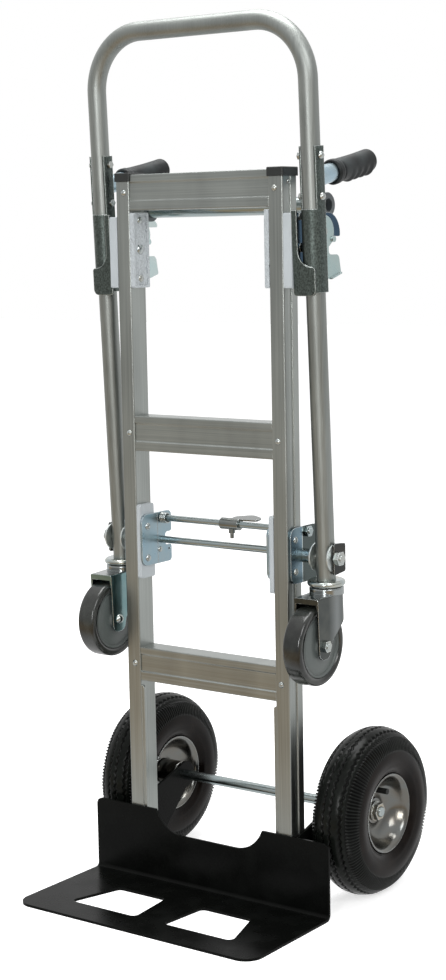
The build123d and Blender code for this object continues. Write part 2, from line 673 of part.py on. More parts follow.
def dock_pad():
    """Plastic pad on the rail's inner side, behind the dock plate."""
    z0, z1 = DOCK_PAD_Z
    x0 = RAIL_IN - DOCK_PAD_T
    back = DOCK_PAD_BACK
    pad = plate_x(x0, RAIL_IN, (0, z0, 4), (back, z0, 4), (back, z1, 4), (0, z1, 4))
    for y, z, d in rail_bolts()[1]:
        pad -= rod_x(x0 - 1, RAIL_IN + 1, y, z, d + 2 * FIT)
    return pad


def dock_plate():
    """Zinc plate bolted on the pad, rounded at the front."""
    z0, z1 = DOCK_PLATE_Z
    x1 = DOCK_IN + DOCK_PLATE_T
    plate = plate_x(
        DOCK_IN, x1, (DOCK_PLATE_FRONT, z0, 14), (RAIL_D + FREE, z0), (RAIL_D + FREE, z1),
        (DOCK_PLATE_FRONT, z1, 14))
    for y, z, d in rail_bolts()[1]:
        plate -= rod_x(DOCK_IN - 1, x1 + 1, y, z, d + 2 * FIT)
    return plate


def dock_bolts():
    """Round-headed bolts through the dock plate and pad into the rail."""
    tip = RAIL_IN + RAIL_WALL + 2
    return [button(DOCK_IN, tip, y, z, 12, 3.5, d) for y, z, d in rail_bolts()[1]]


def inner_plate():
    """Carriage plate behind the dock, with a slot open to the back between its ears."""
    z0, z1 = DOCK_PLATE_Z
    x1 = DOCK_IN + DOCK_PLATE_T
    front, back = RAIL_D + 3 * FREE, INNER_PLATE_BACK
    slot = CROSS_ROD_D * 0.95
    plate = plate_x(
        DOCK_IN, x1, (front, z0), (back, z0, 6), (back, CROSS_ROD_Z - slot, 4),
        (ROD_Y + CROSS_ROD_D * 0.8, CROSS_ROD_Z - slot, 5), (ROD_Y + CROSS_ROD_D * 0.8, CROSS_ROD_Z + slot, 5),
        (back, CROSS_ROD_Z + slot, 4), (back, z1, 8), (front, z1))
    plate -= rod_x(DOCK_IN - 1, x1 + 1, ROD_Y, CROSS_ROD_Z, CROSS_ROD_D + 2 * FIT)
    plate -= rod_x(DOCK_IN - 1, x1 + 1, EAR_SCREW[0], PIVOT_Z + EAR_SCREW[1], DOCK_BOLT_D + 2 * FIT)
    plate -= rod_x(DOCK_IN - 1, x1 + 1, EAR_HOLE[0], PIVOT_Z + EAR_HOLE[1], DOCK_BOLT_D * 0.7)
    return plate - rod_x(DOCK_IN - 1, x1 + 1, ROD_Y, RELEASE_Z, RELEASE_ROD_D + 2 * RUN)


def outer_plate():
    """Carriage plate along the rail's outer side and past its back, where the rod ends."""
    y0, y1 = OUTER_PLATE_Y
    z0, z1 = OUTER_PLATE_Z
    plate = plate_x(OUTER_PLATE_X, SPACER_X, (y0, z0, 14), (y1, z0, 5), (y1, z1, 5), (y0, z1, 14))
    plate -= rod_x(OUTER_PLATE_X - 1, SPACER_X + 1, PIVOT_Y, PIVOT_Z, PIVOT_D + 2 * FIT)
    plate -= rod_x(OUTER_PLATE_X - 1, SPACER_X + 1, ROD_Y, RELEASE_Z, RELEASE_ROD_D + 2 * RUN)
    for z in carriage_screw_z():
        plate -= rod_x(OUTER_PLATE_X - 1, SPACER_X + 1, GROOVE_Y, z, GROOVE_W * 0.6 + 2 * FIT)
    return plate


def carriage_screw_z():
    """Heights of the screws that hold a slider shoe."""
    return OUTER_PLATE_Z[0] + CARRIAGE_SCREW_INSET, OUTER_PLATE_Z[1] - CARRIAGE_SCREW_INSET


def slider_shoe():
    """Plastic strip on the outer plate that runs in the rail's groove."""
    half = GROOVE_W / 2 - FREE
    shoe = block(
        RAIL_OUT - GROOVE_DEPTH + FREE, OUTER_PLATE_X, GROOVE_Y - half, GROOVE_Y + half,
        OUTER_PLATE_Z[0] + SHOE_INSET, OUTER_PLATE_Z[1] - SHOE_INSET)
    for z in carriage_screw_z():
        shoe -= rod_x(RAIL_OUT - RAIL_W, OUTER_PLATE_X + 1, GROOVE_Y, z, GROOVE_W * 0.6 + 2 * FIT)
    return shoe


def carriage_screws():
    """Screws through an outer plate into its shoe, and one in the inner plate's lower ear."""
    tip = RAIL_OUT - GROOVE_DEPTH + 2 * FREE
    ear = button(
        DOCK_IN, DOCK_IN + DOCK_PLATE_T + 3, EAR_SCREW[0], PIVOT_Z + EAR_SCREW[1], 1.6 * DOCK_BOLT_D, 2.5,
        DOCK_BOLT_D)
    return [ear] + [button(SPACER_X, tip, GROOVE_Y, z, 11, 3, GROOVE_W * 0.6) for z in carriage_screw_z()]


def pivot_stud():
    """Stud through an outer plate that a leg turns on."""
    return rod_x(OUTER_PLATE_X, KEEPER_X + KEEPER_T + PIVOT_NUT_H + 2, PIVOT_Y, PIVOT_Z, PIVOT_D)


def pivot_spacer():
    """Spacer on the stud between the outer plate and the leg's inner disc."""
    end = LEG_X - TUBE_R - FIT - DISC_T - FREE
    return ring_x(SPACER_X, end, PIVOT_Y, PIVOT_Z, SPACER_D, PIVOT_D + 2 * FIT)


def keeper_plate():
    """Plate on the stud's outer end, outside the leg."""
    y0, y1 = PIVOT_Y - KEEPER_DEPTH[0], PIVOT_Y + KEEPER_DEPTH[1]
    z0, z1 = PIVOT_Z - KEEPER_REACH[0], PIVOT_Z + KEEPER_REACH[1]
    plate = plate_x(
        KEEPER_X, KEEPER_X + KEEPER_T, (y0, z0, 4), (y1, z0 + 3, 4), (y1, z1 - 3, 4), (y0, z1, 4))
    return plate - rod_x(KEEPER_X - 1, KEEPER_X + KEEPER_T + 1, PIVOT_Y, PIVOT_Z, PIVOT_D + 2 * FIT)


def pivot_nut():
    """Nut that holds the keeper plate on the stud."""
    start = KEEPER_X + KEEPER_T
    return hex_x(start, start + PIVOT_NUT_H, PIVOT_Y, PIVOT_Z, PIVOT_NUT_AF, PIVOT_D + 2 * FIT)


def release_rod():
    """Rod that turns in the inner and outer plates, with a nut on each end."""
    seat = SPACER_X + FREE
    end = seat + RELEASE_NUT_H
    rod = rod_x(-end - RELEASE_OVER, end + RELEASE_OVER, ROD_Y, RELEASE_Z, RELEASE_ROD_D)
    nut = hex_x(seat, end, ROD_Y, RELEASE_Z, RELEASE_NUT_AF, RELEASE_ROD_D - 1)
    return rod + nut + left(nut)


def release_lever():
    """Clamp on the release rod with a paddle to lift and a screw below."""
    paddle_z = CLAMP_D / 2 - 1
    clamp = rod_x(*CLAMP_X, 0, 0, CLAMP_D)
    paddle = plate_z(
        0, PADDLE_T, (PADDLE_X[0], 0, 3), (PADDLE_X[1], 4, 5), (PADDLE_X[1], PADDLE_REACH * 0.6, 8),
        (sum(PADDLE_X) / 2, PADDLE_REACH, 14), (PADDLE_X[0], PADDLE_REACH * 0.5, 6))
    lever = clamp + Pos(0, -1, paddle_z - PADDLE_T) * Rot(PADDLE_TILT, 0, 0) * paddle
    lever += rod_z(CLAMP_SCREW_X, 0, -CLAMP_D / 2 - CLAMP_SCREW_L, 0, CLAMP_SCREW_D)
    lever += rod_z(CLAMP_SCREW_X, 0, -CLAMP_D / 2 - 5, 0, CLAMP_SCREW_D * 1.7)
    lever -= rod_x(CLAMP_X[0] - 1, PADDLE_X[1] + 1, 0, 0, RELEASE_ROD_D + 2 * FIT)
    return Pos(0, ROD_Y, RELEASE_Z) * lever


def biarc(start, heading, end, arrival):
    """Two tangent arcs from start to end that leave and arrive along the given unit directions."""
    chord = end - start
    total = heading + arrival
    spread = 2 * (1 - heading.dot(arrival))
    along = chord.dot(total)
    reach = (sqrt(along * along + spread * chord.dot(chord)) - along) / spread
    middle = (start + end + (heading - arrival) * reach) * 0.5
    joint = (middle - start).normalized()
    turned_heading = (joint * (2 * joint.dot(heading)) - heading).normalized()
    return [Edge.make_tangent_arc(start, heading, middle), Edge.make_tangent_arc(middle, turned_heading, end)]


def spring_point(turn):
    """Point and unit direction on the spring's centreline after a number of turns."""
    angle = 2 * pi * turn
    point = Vector(SPRING_PITCH * turn, SPRING_R * cos(angle), SPRING_R * sin(angle))
    way = Vector(SPRING_PITCH, -2 * pi * SPRING_R * sin(angle), 2 * pi * SPRING_R * cos(angle))
    return point, way.normalized()


def release_spring():
    """Coil spring round the release rod beside the left plate, with a straight end at each side."""
    spans = [spring_point(i / 4) for i in range(4 * SPRING_TURNS + 1)]
    first, last = spans[0], spans[-1]
    edges = [Edge.make_line(first[0] - first[1] * 2 * SPRING_WIRE, first[0])]
    for (start, heading), (end, arrival) in zip(spans, spans[1:]):
        edges += biarc(start, heading, end, arrival)
    edges.append(Edge.make_line(last[0], last[0] + last[1] * 2 * SPRING_WIRE))
    path = Wire(edges)
    coil = sweep(Plane(path @ 0, z_dir=path % 0) * Circle(SPRING_WIRE / 2), path)
    print("spring: least gap to itself", round(spring_gap(path), 2), "mm")
    return Pos(-DOCK_IN + FREE + SPRING_WIRE / 2, ROD_Y, RELEASE_Z) * coil


def spring_gap(path):
    """Least distance between points of the wire that are more than half a turn apart, less the wire."""
    steps = 40 * SPRING_TURNS
    points = [path @ (i / steps) for i in range(steps + 1)]
    apart = steps // SPRING_TURNS // 2
    gaps = [(points[j] - points[i]).length for i in range(steps + 1) for j in range(i + apart, steps + 1)]
    return min(gaps) - SPRING_WIRE


def loop_handle():
    """Upper tube: two short legs joined by a bend at each corner and a straight top."""
    path = FilletPolyline(
        (-LEG_X, 0, LEG_JOINT + FREE), (-LEG_X, 0, LOOP_TOP), (LEG_X, 0, LOOP_TOP),
        (LEG_X, 0, LEG_JOINT + FREE), radius=LOOP_BEND)
    section = Circle(TUBE_R) - Circle(TUBE_R - TUBE_WALL)
    tube = sweep(Pos(-LEG_X, 0, LEG_JOINT + FREE) * section, path)
    holes = [rod_x(-LEG_X - TUBE_D, LEG_X + TUBE_D, 0, z, SLEEVE_BOLT_D + 2 * FIT) for z in SLEEVE_BOLTS]
    return on_loop(tube - holes[0] - holes[1])


def leg():
    """Lower tube of the loop, from the joint inside the sleeve down to the caster."""
    tube = rod_z(LEG_X, 0, CUP_TOP, LEG_JOINT, TUBE_D)
    tube -= rod_z(LEG_X, 0, CUP_TOP - 1, LEG_JOINT + 1, TUBE_D - 2 * TUBE_WALL)
    return on_loop(tube - rod_x(LEG_X - TUBE_D, LEG_X + TUBE_D, 0, 0, PIVOT_D + 2 * RUN))


def leg_discs():
    """Discs on both sides of a leg at the pivot."""
    inner = LEG_X - TUBE_R - FIT
    bore = PIVOT_D + 2 * RUN
    return [on_loop(ring_x(x, x + DISC_T, 0, 0, DISC_D, bore)) for x in (inner - DISC_T, DISC_X)]


def sleeve():
    """U-shaped steel wrap round the front of the leg, with ears above and a hooked plate below."""
    inner_r = SLEEVE_R - SLEEVE_T
    shell = rod_z(0, 0, SLEEVE_LOW, SLEEVE_TOP, 2 * SLEEVE_R)
    shell += block(-SLEEVE_R, SLEEVE_R, 0, SLEEVE_BACK, SLEEVE_LOW, SLEEVE_TOP)
    shell -= block(-SLEEVE_R - 1, SLEEVE_R + 1, SLEEVE_BACK, 2 * SLEEVE_R, SLEEVE_LOW - 1, SLEEVE_TOP + 1)
    shell -= rod_z(0, 0, SLEEVE_LOW - 1, SLEEVE_TOP + 1, 2 * inner_r)
    shell -= block(-inner_r, inner_r, 0, 2 * SLEEVE_R, SLEEVE_LOW - 1, SLEEVE_TOP + 1)
    shell -= block(-SLEEVE_R - 1, SLEEVE_R + 1, -2 * SLEEVE_R, -EAR_FRONT, SLEEVE_RIM, SLEEVE_TOP + 1)
    for z in SLEEVE_BOLTS:
        shell -= rod_x(-2 * SLEEVE_R, 2 * SLEEVE_R, 0, z, SLEEVE_BOLT_D + 2 * FIT)
    return on_loop(Pos(LEG_X, 0, 0) * shell + hook_plate())


def hook_plate():
    """Flat J-shaped plate on the sleeve's front: an upright strip and a hook towards the outside."""
    front = -SLEEVE_R - HOOK_T + 1
    plate = plate_y(
        front, front + HOOK_T, (HOOK_X[0], HOOK_LOW, 5), (HOOK_REACH, HOOK_LOW, 9), (HOOK_REACH, HOOK_TOP, 4),
        (HOOK_X[1], HOOK_TOP, HOOK_NOTCH_R), (HOOK_X[1], STRIP_TOP), (HOOK_X[0], STRIP_TOP))
    return plate - rod_z(LEG_X, 0, HOOK_LOW - 1, STRIP_TOP + 1, 2 * (SLEEVE_R - SLEEVE_T))


def sleeve_bolts():
    """Round-headed bolts across a sleeve, each with a nut on the inner side."""
    outer, inner = LEG_X + SLEEVE_R, LEG_X - SLEEVE_R
    pieces = []
    for z in SLEEVE_BOLTS:
        pieces.append(on_loop(button(outer, inner - 4, 0, z, 12, 5, SLEEVE_BOLT_D)))
        pieces.append(on_loop(hex_x(inner - 4, inner, 0, z, 10, SLEEVE_BOLT_D + 2 * FIT)))
    return pieces


def on_grip(shape):
    """Set a solid that is drawn about +Z on the grip's axis, which rises towards the back."""
    return on_loop(Pos(LEG_X, 0, GRIP_RISE) * Rot(GRIP_TILT - 90, 0, 0) * shape)


def grip_tube():
    """Tube from the leg's back that the grip is pushed onto."""
    tube = rod_z(0, 0, 0, GRIP_END - 6, GRIP_TUBE_D) - rod_z(0, 0, -1, GRIP_END, GRIP_TUBE_D - 2 * TUBE_WALL)
    low, high = GRIP_RISE - 2 * GRIP_TUBE_D, GRIP_RISE + 2 * GRIP_TUBE_D
    leg_room = on_loop(rod_z(LEG_X, 0, low, high, TUBE_D + 2 * FIT))
    front = on_loop(block(LEG_X - TUBE_D, LEG_X + TUBE_D, -TUBE_D, 0, low, high))
    return on_grip(tube) - leg_room - front


def grip():
    """Soft grip with a collar at the front, finger bumps below and a closed end."""
    body = rod_z(0, 0, GRIP_START, GRIP_END, GRIP_D)
    body = fillet(body.edges().filter_by(GeomType.CIRCLE).group_by(Axis.Z)[-1], 5)
    collar = rod_z(0, 0, GRIP_START, GRIP_START + GRIP_COLLAR_L, GRIP_COLLAR_D)
    body += fillet(collar.edges().filter_by(GeomType.CIRCLE), 2)
    pitch = (GRIP_END - GRIP_START - GRIP_COLLAR_L - 16) / GRIP_BUMPS
    for i in range(GRIP_BUMPS):
        place = GRIP_START + GRIP_COLLAR_L + 8 + pitch * (i + 0.5)
        body += Pos(0, GRIP_D / 2 - GRIP_BUMP_R * 0.55, place) * Sphere(GRIP_BUMP_R)
    return on_grip(body - rod_z(0, 0, GRIP_START - 1, GRIP_END - 6 + FIT, GRIP_TUBE_D + 2 * FIT))


def caster_cup():
    """Upper raceway on the leg's end, with the kingpin that holds the fork."""
    cup_end = CUP_TOP - CUP_H
    cup = rod_z(0, 0, cup_end, CUP_TOP, CUP_D)
    cup = fillet(cup.edges().filter_by(GeomType.CIRCLE).group_by(Axis.Z)[-1], 4)
    pin_end = YOKE_TOP - YOKE_T - FREE
    cup += rod_z(0, 0, pin_end - KINGPIN_HEAD_H, cup_end, KINGPIN_D)
    cup += rod_z(0, 0, pin_end - KINGPIN_HEAD_H, pin_end, KINGPIN_HEAD_D)
    return on_loop(Pos(LEG_X, 0, 0) * cup)


def caster_fork():
    """Fork bent from one sheet: yoke, round skirt at the back and two arms down to the wheel's axle."""
    half, low = FORK_W / 2, YOKE_TOP - YOKE_T
    tip_y, tip_z = FORK_TIP
    bottom = -CASTER_DROP - tip_z
    sheet = plate_x(
        -half, half, (FORK_BACK, YOKE_TOP), (FORK_BACK, YOKE_TOP - FORK_SKIRT, 6),
        (tip_y - CASTER_TRAIL, -CASTER_DROP, 24), (tip_y - CASTER_TRAIL, bottom, 12),
        (-tip_y - CASTER_TRAIL, bottom, 12), (-FORK_FRONT, YOKE_TOP))
    sheet &= plate_z(
        bottom, YOKE_TOP, (-half, -FORK_FRONT), (half, -FORK_FRONT), (half, FORK_BACK, 0.9 * half),
        (-half, FORK_BACK, 0.9 * half))
    sheet &= plate_y(
        -FORK_FRONT, FORK_BACK, (-half, bottom), (half, bottom), (half, YOKE_TOP, FORK_T),
        (-half, YOKE_TOP, FORK_T))
    inside = half - FORK_T
    sheet -= plate_z(
        bottom - 1, low, (-inside, -FORK_FRONT - 1), (inside, -FORK_FRONT - 1),
        (inside, FORK_BACK - FORK_T, 0.9 * inside), (-inside, FORK_BACK - FORK_T, 0.9 * inside))
    sheet += block(-inside, inside, -FORK_FRONT, FORK_T - FORK_FRONT, low - FORK_LIP, low)
    race = rod_z(0, 0, low, CUP_TOP - CUP_H - CUP_GAP, LOWER_CUP_D)
    race = fillet(race.edges().filter_by(GeomType.CIRCLE).group_by(Axis.Z)[-1], 3)
    fork = sheet + race - rod_z(0, 0, low - 1, CUP_TOP, KINGPIN_D + 2 * FREE)
    return fork - rod_x(-half - 1, half + 1, -CASTER_TRAIL, -CASTER_DROP, CASTER_AXLE_D + 2 * FIT)


def caster_axle():
    """Bolt across the fork with its head and nut."""
    half = FORK_W / 2
    end = half + CASTER_NUT_H
    bolt = rod_x(-half, end + 2, -CASTER_TRAIL, -CASTER_DROP, CASTER_AXLE_D)
    head = Pos(-half, -CASTER_TRAIL, -CASTER_DROP) * Rot(0, -90, 0) * dome(CASTER_NUT_AF, CASTER_NUT_H)
    nut = hex_x(half, end, -CASTER_TRAIL, -CASTER_DROP, CASTER_NUT_AF, CASTER_AXLE_D - 1)
    return bolt + head + nut


def caster_hub():
    """Hub with a long boss, a nearly flat face with one pressed ring, and a rim for the tread."""
    boss, rim_half = CASTER_BOSS_D / 2, CASTER_W / 2 - 2
    core, edge, web = CASTER_HUB_W / 2, CASTER_HUB_D / 2, CASTER_WEB / 2
    ring, sunk = CASTER_RING_R, web - CASTER_RING_DEPTH
    face = [(core, CASTER_AXLE_D / 2 + RUN), (core, boss - 2), (core - 1.5, boss), (web + 1, boss + 1),
            (web, boss + 4), (web, ring - 1.5), (sunk, ring - 1), (sunk, ring + 1), (rim_half, ring + 2),
            (rim_half, edge)]
    hub = turned(0, *face, *[(-x, r) for x, r in reversed(face)])
    return Pos(0, -CASTER_TRAIL, -CASTER_DROP) * hub


def caster_tread():
    """Solid tread round the hub."""
    half, bore = CASTER_W / 2, CASTER_HUB_D / 2 + FIT
    tread = ring_x(-half, half, 0, 0, CASTER_D, 2 * bore)
    outside = tread.edges().filter_by(GeomType.CIRCLE).filter_by(lambda edge: edge.radius > CASTER_R - 1)
    return Pos(0, -CASTER_TRAIL, -CASTER_DROP) * fillet(outside, 6)


def on_swivel(shape):
    """Set a caster piece, drawn about its swivel axis, on the right leg."""
    return on_loop(Pos(LEG_X, 0, 0) * shape)


def save_pair(name, shape):
    """Write the right-hand piece and its mirror image as two nodes."""
    save(f"right_{name}", shape)
    save(f"left_{name}", left(shape))


def make_frame():
    """Everything that stands still."""
    save_pair("rail", rail())
    save("rail_caps", *both(rail_cap()))
    for name, height in (("top", TOP_BAR_Z), ("middle", MIDDLE_BAR_Z), ("lower", LOWER_BAR_Z)):
        save(f"{name}_crossbar", crossbar(height))
    rivets = [front_rivet(z) for z in (TOP_BAR_Z, MIDDLE_BAR_Z, LOWER_BAR_Z)]
    save("rail_rivets", *both(*rivets, cap_screw()))
    save("nose_plate", nose_plate())
    save_pair("axle_bracket", axle_bracket())
    save("rail_bolts", *both(*bracket_bolts(), *dock_bolts()))
    save("axle", axle())
    save("axle_nuts", *both(*axle_nuts()))
    save("inner_blocks", *both(inner_block()))
    save("outer_blocks", *both(outer_block()))
    save("plate_bolts", *both(*block_bolts(), latch_pin()))
    save("right_side_plate", side_plate(RIGHT_LOBE_DROP))
    save("left_side_plate", left(side_plate(LEFT_LOBE_DROP)))
    save("rear_bar", rear_bar())
    save("bar_bushes", *both(bar_bush()))
    save("dock_pads", *both(dock_pad()))
    save("dock_plates", *both(dock_plate()))
    save_pair("latch", latch())


def make_wheels():
    """Main wheels."""
    save_pair("tyre", tyre())
    save_pair("rim", rim())
    save_pair("valve", on_axle(Pos(WHEEL_X, 0, 0) * valve_stem(0)))


def make_carriage():
    """The carriage, its release rod and the spring."""
    save("inner_plates", *both(inner_plate()))
    save("outer_plates", *both(outer_plate()))
    save("slider_shoes", *both(slider_shoe()))
    save("carriage_screws", *both(*carriage_screws()))
    save("cross_rod", rod_x(-OUTER_PLATE_X, OUTER_PLATE_X, ROD_Y, CROSS_ROD_Z, CROSS_ROD_D))
    save("pivot_studs", *both(pivot_stud(), pivot_nut()))
    save("pivot_spacers", *both(pivot_spacer()))
    save("keeper_plates", *both(keeper_plate()))
    save("release_spring", release_spring())
    save("release_rod", release_rod())
    save("release_lever", release_lever())


def make_loop():
    """The loop with its sleeves and grips, and the casters on its legs."""
    save("loop_handle", loop_handle())
    save_pair("leg", leg())
    save("leg_discs", *both(*leg_discs()))
    save_pair("sleeve", sleeve())
    save("sleeve_bolts", *both(*sleeve_bolts()))
    save("grip_tubes", *both(grip_tube()))
    save_pair("grip", grip())
    save("caster_cups", *both(caster_cup()))
    save_pair("caster_fork", on_swivel(caster_fork()))
    save_pair("caster_axle", on_swivel(caster_axle()))
    save_pair("caster_hub", on_swivel(caster_hub()))
    save_pair("caster_tread", on_swivel(caster_tread()))


os.makedirs("parts", exist_ok=True)
make_frame()
make_wheels()
make_carriage()
make_loop()
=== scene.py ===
"""Looks of a convertible hand truck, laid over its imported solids.

Metres, in the solids' own frame: the floor at z = 0, +Z up, +X to the truck's right seen from the front
and +Y to its back. Pieces that the solids only outline (tyres, caster wheels, raceways and grips) are
surfaces worked out on grids; every other solid is shown as it is, with a finish of its own.
"""

from math import cos, pi, radians, sin

import bpy
import numpy as np
from mathutils import Matrix, Vector


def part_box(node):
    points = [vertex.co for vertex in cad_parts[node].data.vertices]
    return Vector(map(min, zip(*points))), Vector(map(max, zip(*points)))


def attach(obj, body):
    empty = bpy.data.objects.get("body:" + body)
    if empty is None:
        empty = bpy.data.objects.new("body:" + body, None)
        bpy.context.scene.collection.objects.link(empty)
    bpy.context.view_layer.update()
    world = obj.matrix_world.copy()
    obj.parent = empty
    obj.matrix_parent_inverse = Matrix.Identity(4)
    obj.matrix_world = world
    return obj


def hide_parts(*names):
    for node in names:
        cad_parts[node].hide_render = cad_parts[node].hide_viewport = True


bl_info = {
    "name": "Convertible Hand Truck",
    "version": (1, 0, 0),
    "blender": (4, 5, 0),
    "location": "3D View > Sidebar > Hand Truck",
    "description": "Tyres, grips, casters, finishes and stage of a folding hand truck",
    "category": "Object",
}

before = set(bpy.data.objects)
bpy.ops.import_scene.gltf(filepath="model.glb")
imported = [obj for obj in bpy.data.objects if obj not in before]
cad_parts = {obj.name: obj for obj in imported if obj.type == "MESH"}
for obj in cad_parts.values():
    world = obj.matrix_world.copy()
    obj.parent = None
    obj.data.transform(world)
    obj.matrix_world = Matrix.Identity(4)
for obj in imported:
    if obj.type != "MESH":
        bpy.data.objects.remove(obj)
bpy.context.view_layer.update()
MM = 0.001
SIDES = ("left", "right")
MIRROR = np.array([-1, 1])


def linear(colour):
    """Linear RGBA of an sRGB hex colour: c / 12.92 up to 0.04045, ((c + 0.055) / 1.055) ** 2.4 above it."""
    parts = [int(colour[i:i + 2], 16) / 255 for i in (1, 3, 5)]
    return tuple(c / 12.92 if c <= 0.04045 else ((c + 0.055) / 1.055) ** 2.4 for c in parts) + (1.0,)


class TruckColours(bpy.types.PropertyGroup):
    """Main colour of each finish."""

    aluminium: bpy.props.FloatVectorProperty(
        name="Aluminium", description="Rails, crossbars, loop handle and legs", subtype="COLOR", size=4,
        default=linear("#989c99"))
    paint: bpy.props.FloatVectorProperty(
        name="Black Paint", description="Nose plate and axle brackets", subtype="COLOR", size=4,
        default=linear("#090a09"))
    zinc: bpy.props.FloatVectorProperty(
        name="Bright Zinc", description="Bolts, discs, lever, nuts and raceways", subtype="COLOR", size=4,
        default=linear("#a9aeae"))
    blue_zinc: bpy.props.FloatVectorProperty(
        name="Blue Zinc", description="Grip tubes, dock and carriage plates", subtype="COLOR", size=4,
        default=linear("#93a9b4"))
    dark_steel: bpy.props.FloatVectorProperty(
        name="Dark Steel", description="Sleeves round the legs", subtype="COLOR", size=4,
        default=linear("#505855"))
    nylon: bpy.props.FloatVectorProperty(
        name="Nylon", description="Blocks and pads on the rails", subtype="COLOR", size=4,
        default=linear("#afb5b8"))
    rubber: bpy.props.FloatVectorProperty(
        name="Tyre Rubber", description="Tread and valves of the main wheels", subtype="COLOR", size=4,
        default=linear("#0e100e"))
    caster_rubber: bpy.props.FloatVectorProperty(
        name="Caster Rubber", description="Tread of the casters", subtype="COLOR", size=4,
        default=linear("#121412"))
    caster_hub: bpy.props.FloatVectorProperty(
        name="Caster Hub", description="Hub of the casters", subtype="COLOR", size=4,
        default=linear("#505654"))
    grip: bpy.props.FloatVectorProperty(
        name="Grip", description="Soft grips", subtype="COLOR", size=4, default=linear("#121516"))
    rim: bpy.props.FloatVectorProperty(
        name="Rim", description="Dished rims of the main wheels", subtype="COLOR", size=4,
        default=linear("#686965"))
    paper: bpy.props.FloatVectorProperty(
        name="Paper", description="Paper under and behind the truck", subtype="COLOR", size=4,
        default=linear("#f2f2f2"))
    boards: bpy.props.FloatVectorProperty(
        name="Boards", description="Floor of the room in front of the paper", subtype="COLOR", size=4,
        default=linear("#ceb491"))


class TruckSizes(bpy.types.PropertyGroup):
    """Sizes of the detail that the surfaces carry."""

    groove_depth: bpy.props.FloatProperty(
        name="Groove Depth", description="Depth of the grooves round the tyre's crown", unit="LENGTH",
        default=2.6 * MM, min=0.0, max=6 * MM)
    lug_depth: bpy.props.FloatProperty(
        name="Lug Depth", description="Depth of the cuts between the shoulder lugs", unit="LENGTH",
        default=2.6 * MM, min=0.0, max=5 * MM)
    lugs: bpy.props.IntProperty(
        name="Lugs", description="Shoulder lugs round one tyre", default=140, min=24, max=160)
    finger_depth: bpy.props.FloatProperty(
        name="Finger Depth", description="Height of the finger swells under a grip", unit="LENGTH",
        default=4.0 * MM, min=0.0, max=8 * MM)
    finger_swells: bpy.props.IntProperty(
        name="Finger Swells", description="Swells under one grip", default=4, min=0, max=6)
    hub_ring: bpy.props.FloatProperty(
        name="Hub Ring", description="Radius of the ring pressed into a caster hub", unit="LENGTH",
        default=42.5 * MM, min=20 * MM, max=46 * MM)


def feed(material, node, inputs):
    """Set a node's inputs by name or number: a socket is linked and anything else is its value."""
    for name, value in inputs.items():
        if isinstance(value, bpy.types.NodeSocket):
            material.node_tree.links.new(value, node.inputs[name])
        else:
            node.inputs[name].default_value = value


def add(material, kind, inputs=None, **settings):
    """Add a shader node with its settings and inputs, and return it."""
    node = material.node_tree.nodes.new(kind)
    for name, value in settings.items():
        setattr(node, name, value)
    feed(material, node, inputs or {})
    return node


def new_finish(name, **inputs):
    """Material with one Principled shader, and that shader; inputs are its sockets with _ for a space."""
    material = bpy.data.materials.new(name)
    material.use_nodes = True
    shader = material.node_tree.nodes["Principled BSDF"]
    feed(material, shader, {key.replace("_", " "): value for key, value in inputs.items()})
    return material, shader


def spread(material, cells_mm, detail):
    """Noise on Object coordinates; cells_mm gives the size of its cells along X, Y and Z in millimetres."""
    place = add(material, "ShaderNodeTexCoord").outputs["Object"]
    cells = tuple(1 / (size * MM) for size in cells_mm)
    scaled = add(material, "ShaderNodeMapping", {"Vector": place, "Scale": cells}).outputs["Vector"]
    noise = add(material, "ShaderNodeTexNoise", {"Vector": scaled, "Scale": 1.0, "Detail": detail})
    return noise.outputs["Fac"]


def shade(colour, factor):
    """A linear colour made lighter or darker."""
    return tuple(min(1.0, c * factor) for c in colour[:3]) + (1.0,)


def blend(material, share, low, high):
    """Mix of two colours; a Mix node's colour sockets go by number, because their names repeat."""
    mix = add(material, "ShaderNodeMix", {0: share, 6: low, 7: high}, data_type="RGBA")
    return mix.outputs[2]


def vary(material, factor, low, high, reach=(0.3, 0.7)):
    """Colour between low and high as the factor goes over its reach."""
    share = add(material, "ShaderNodeMapRange", {
        "Value": factor, "From Min": reach[0], "From Max": reach[1]}).outputs["Result"]
    return blend(material, share, low, high)


def rough(material, factor, low, high):
    """Roughness between low and high over the middle of a noise."""
    span = {"Value": factor, "From Min": 0.3, "From Max": 0.7, "To Min": low, "To Max": high}
    return add(material, "ShaderNodeMapRange", span).outputs["Result"]


def rounded(material, radius_mm):
    """Normal that turns over sharp edges within a radius, so that they catch the light as broken edges do."""
    return add(material, "ShaderNodeBevel", {"Radius": radius_mm * MM}, samples=6).outputs["Normal"]


def painted_edge_highlight(material, edge):
    """Share of painted edge highlight, by how far the rounded normal turns: 0 up to 11 degrees and 1 from 30
    on.

    The turn is read as a cosine, from 0.98 to 0.87.
    """
    face = add(material, "ShaderNodeNewGeometry").outputs["Normal"]
    turned = add(material, "ShaderNodeVectorMath", {0: edge, 1: face}, operation="DOT_PRODUCT")
    span = {"Value": turned.outputs["Value"], "From Min": 0.98, "From Max": 0.87}
    return add(material, "ShaderNodeMapRange", span).outputs["Result"]


def relief(material, height, depth_mm, edge):
    """Bump of a given depth in millimetres over a rounded normal."""
    bump = add(material, "ShaderNodeBump", {"Height": height, "Distance": depth_mm * MM, "Normal": edge})
    return bump.outputs["Normal"]


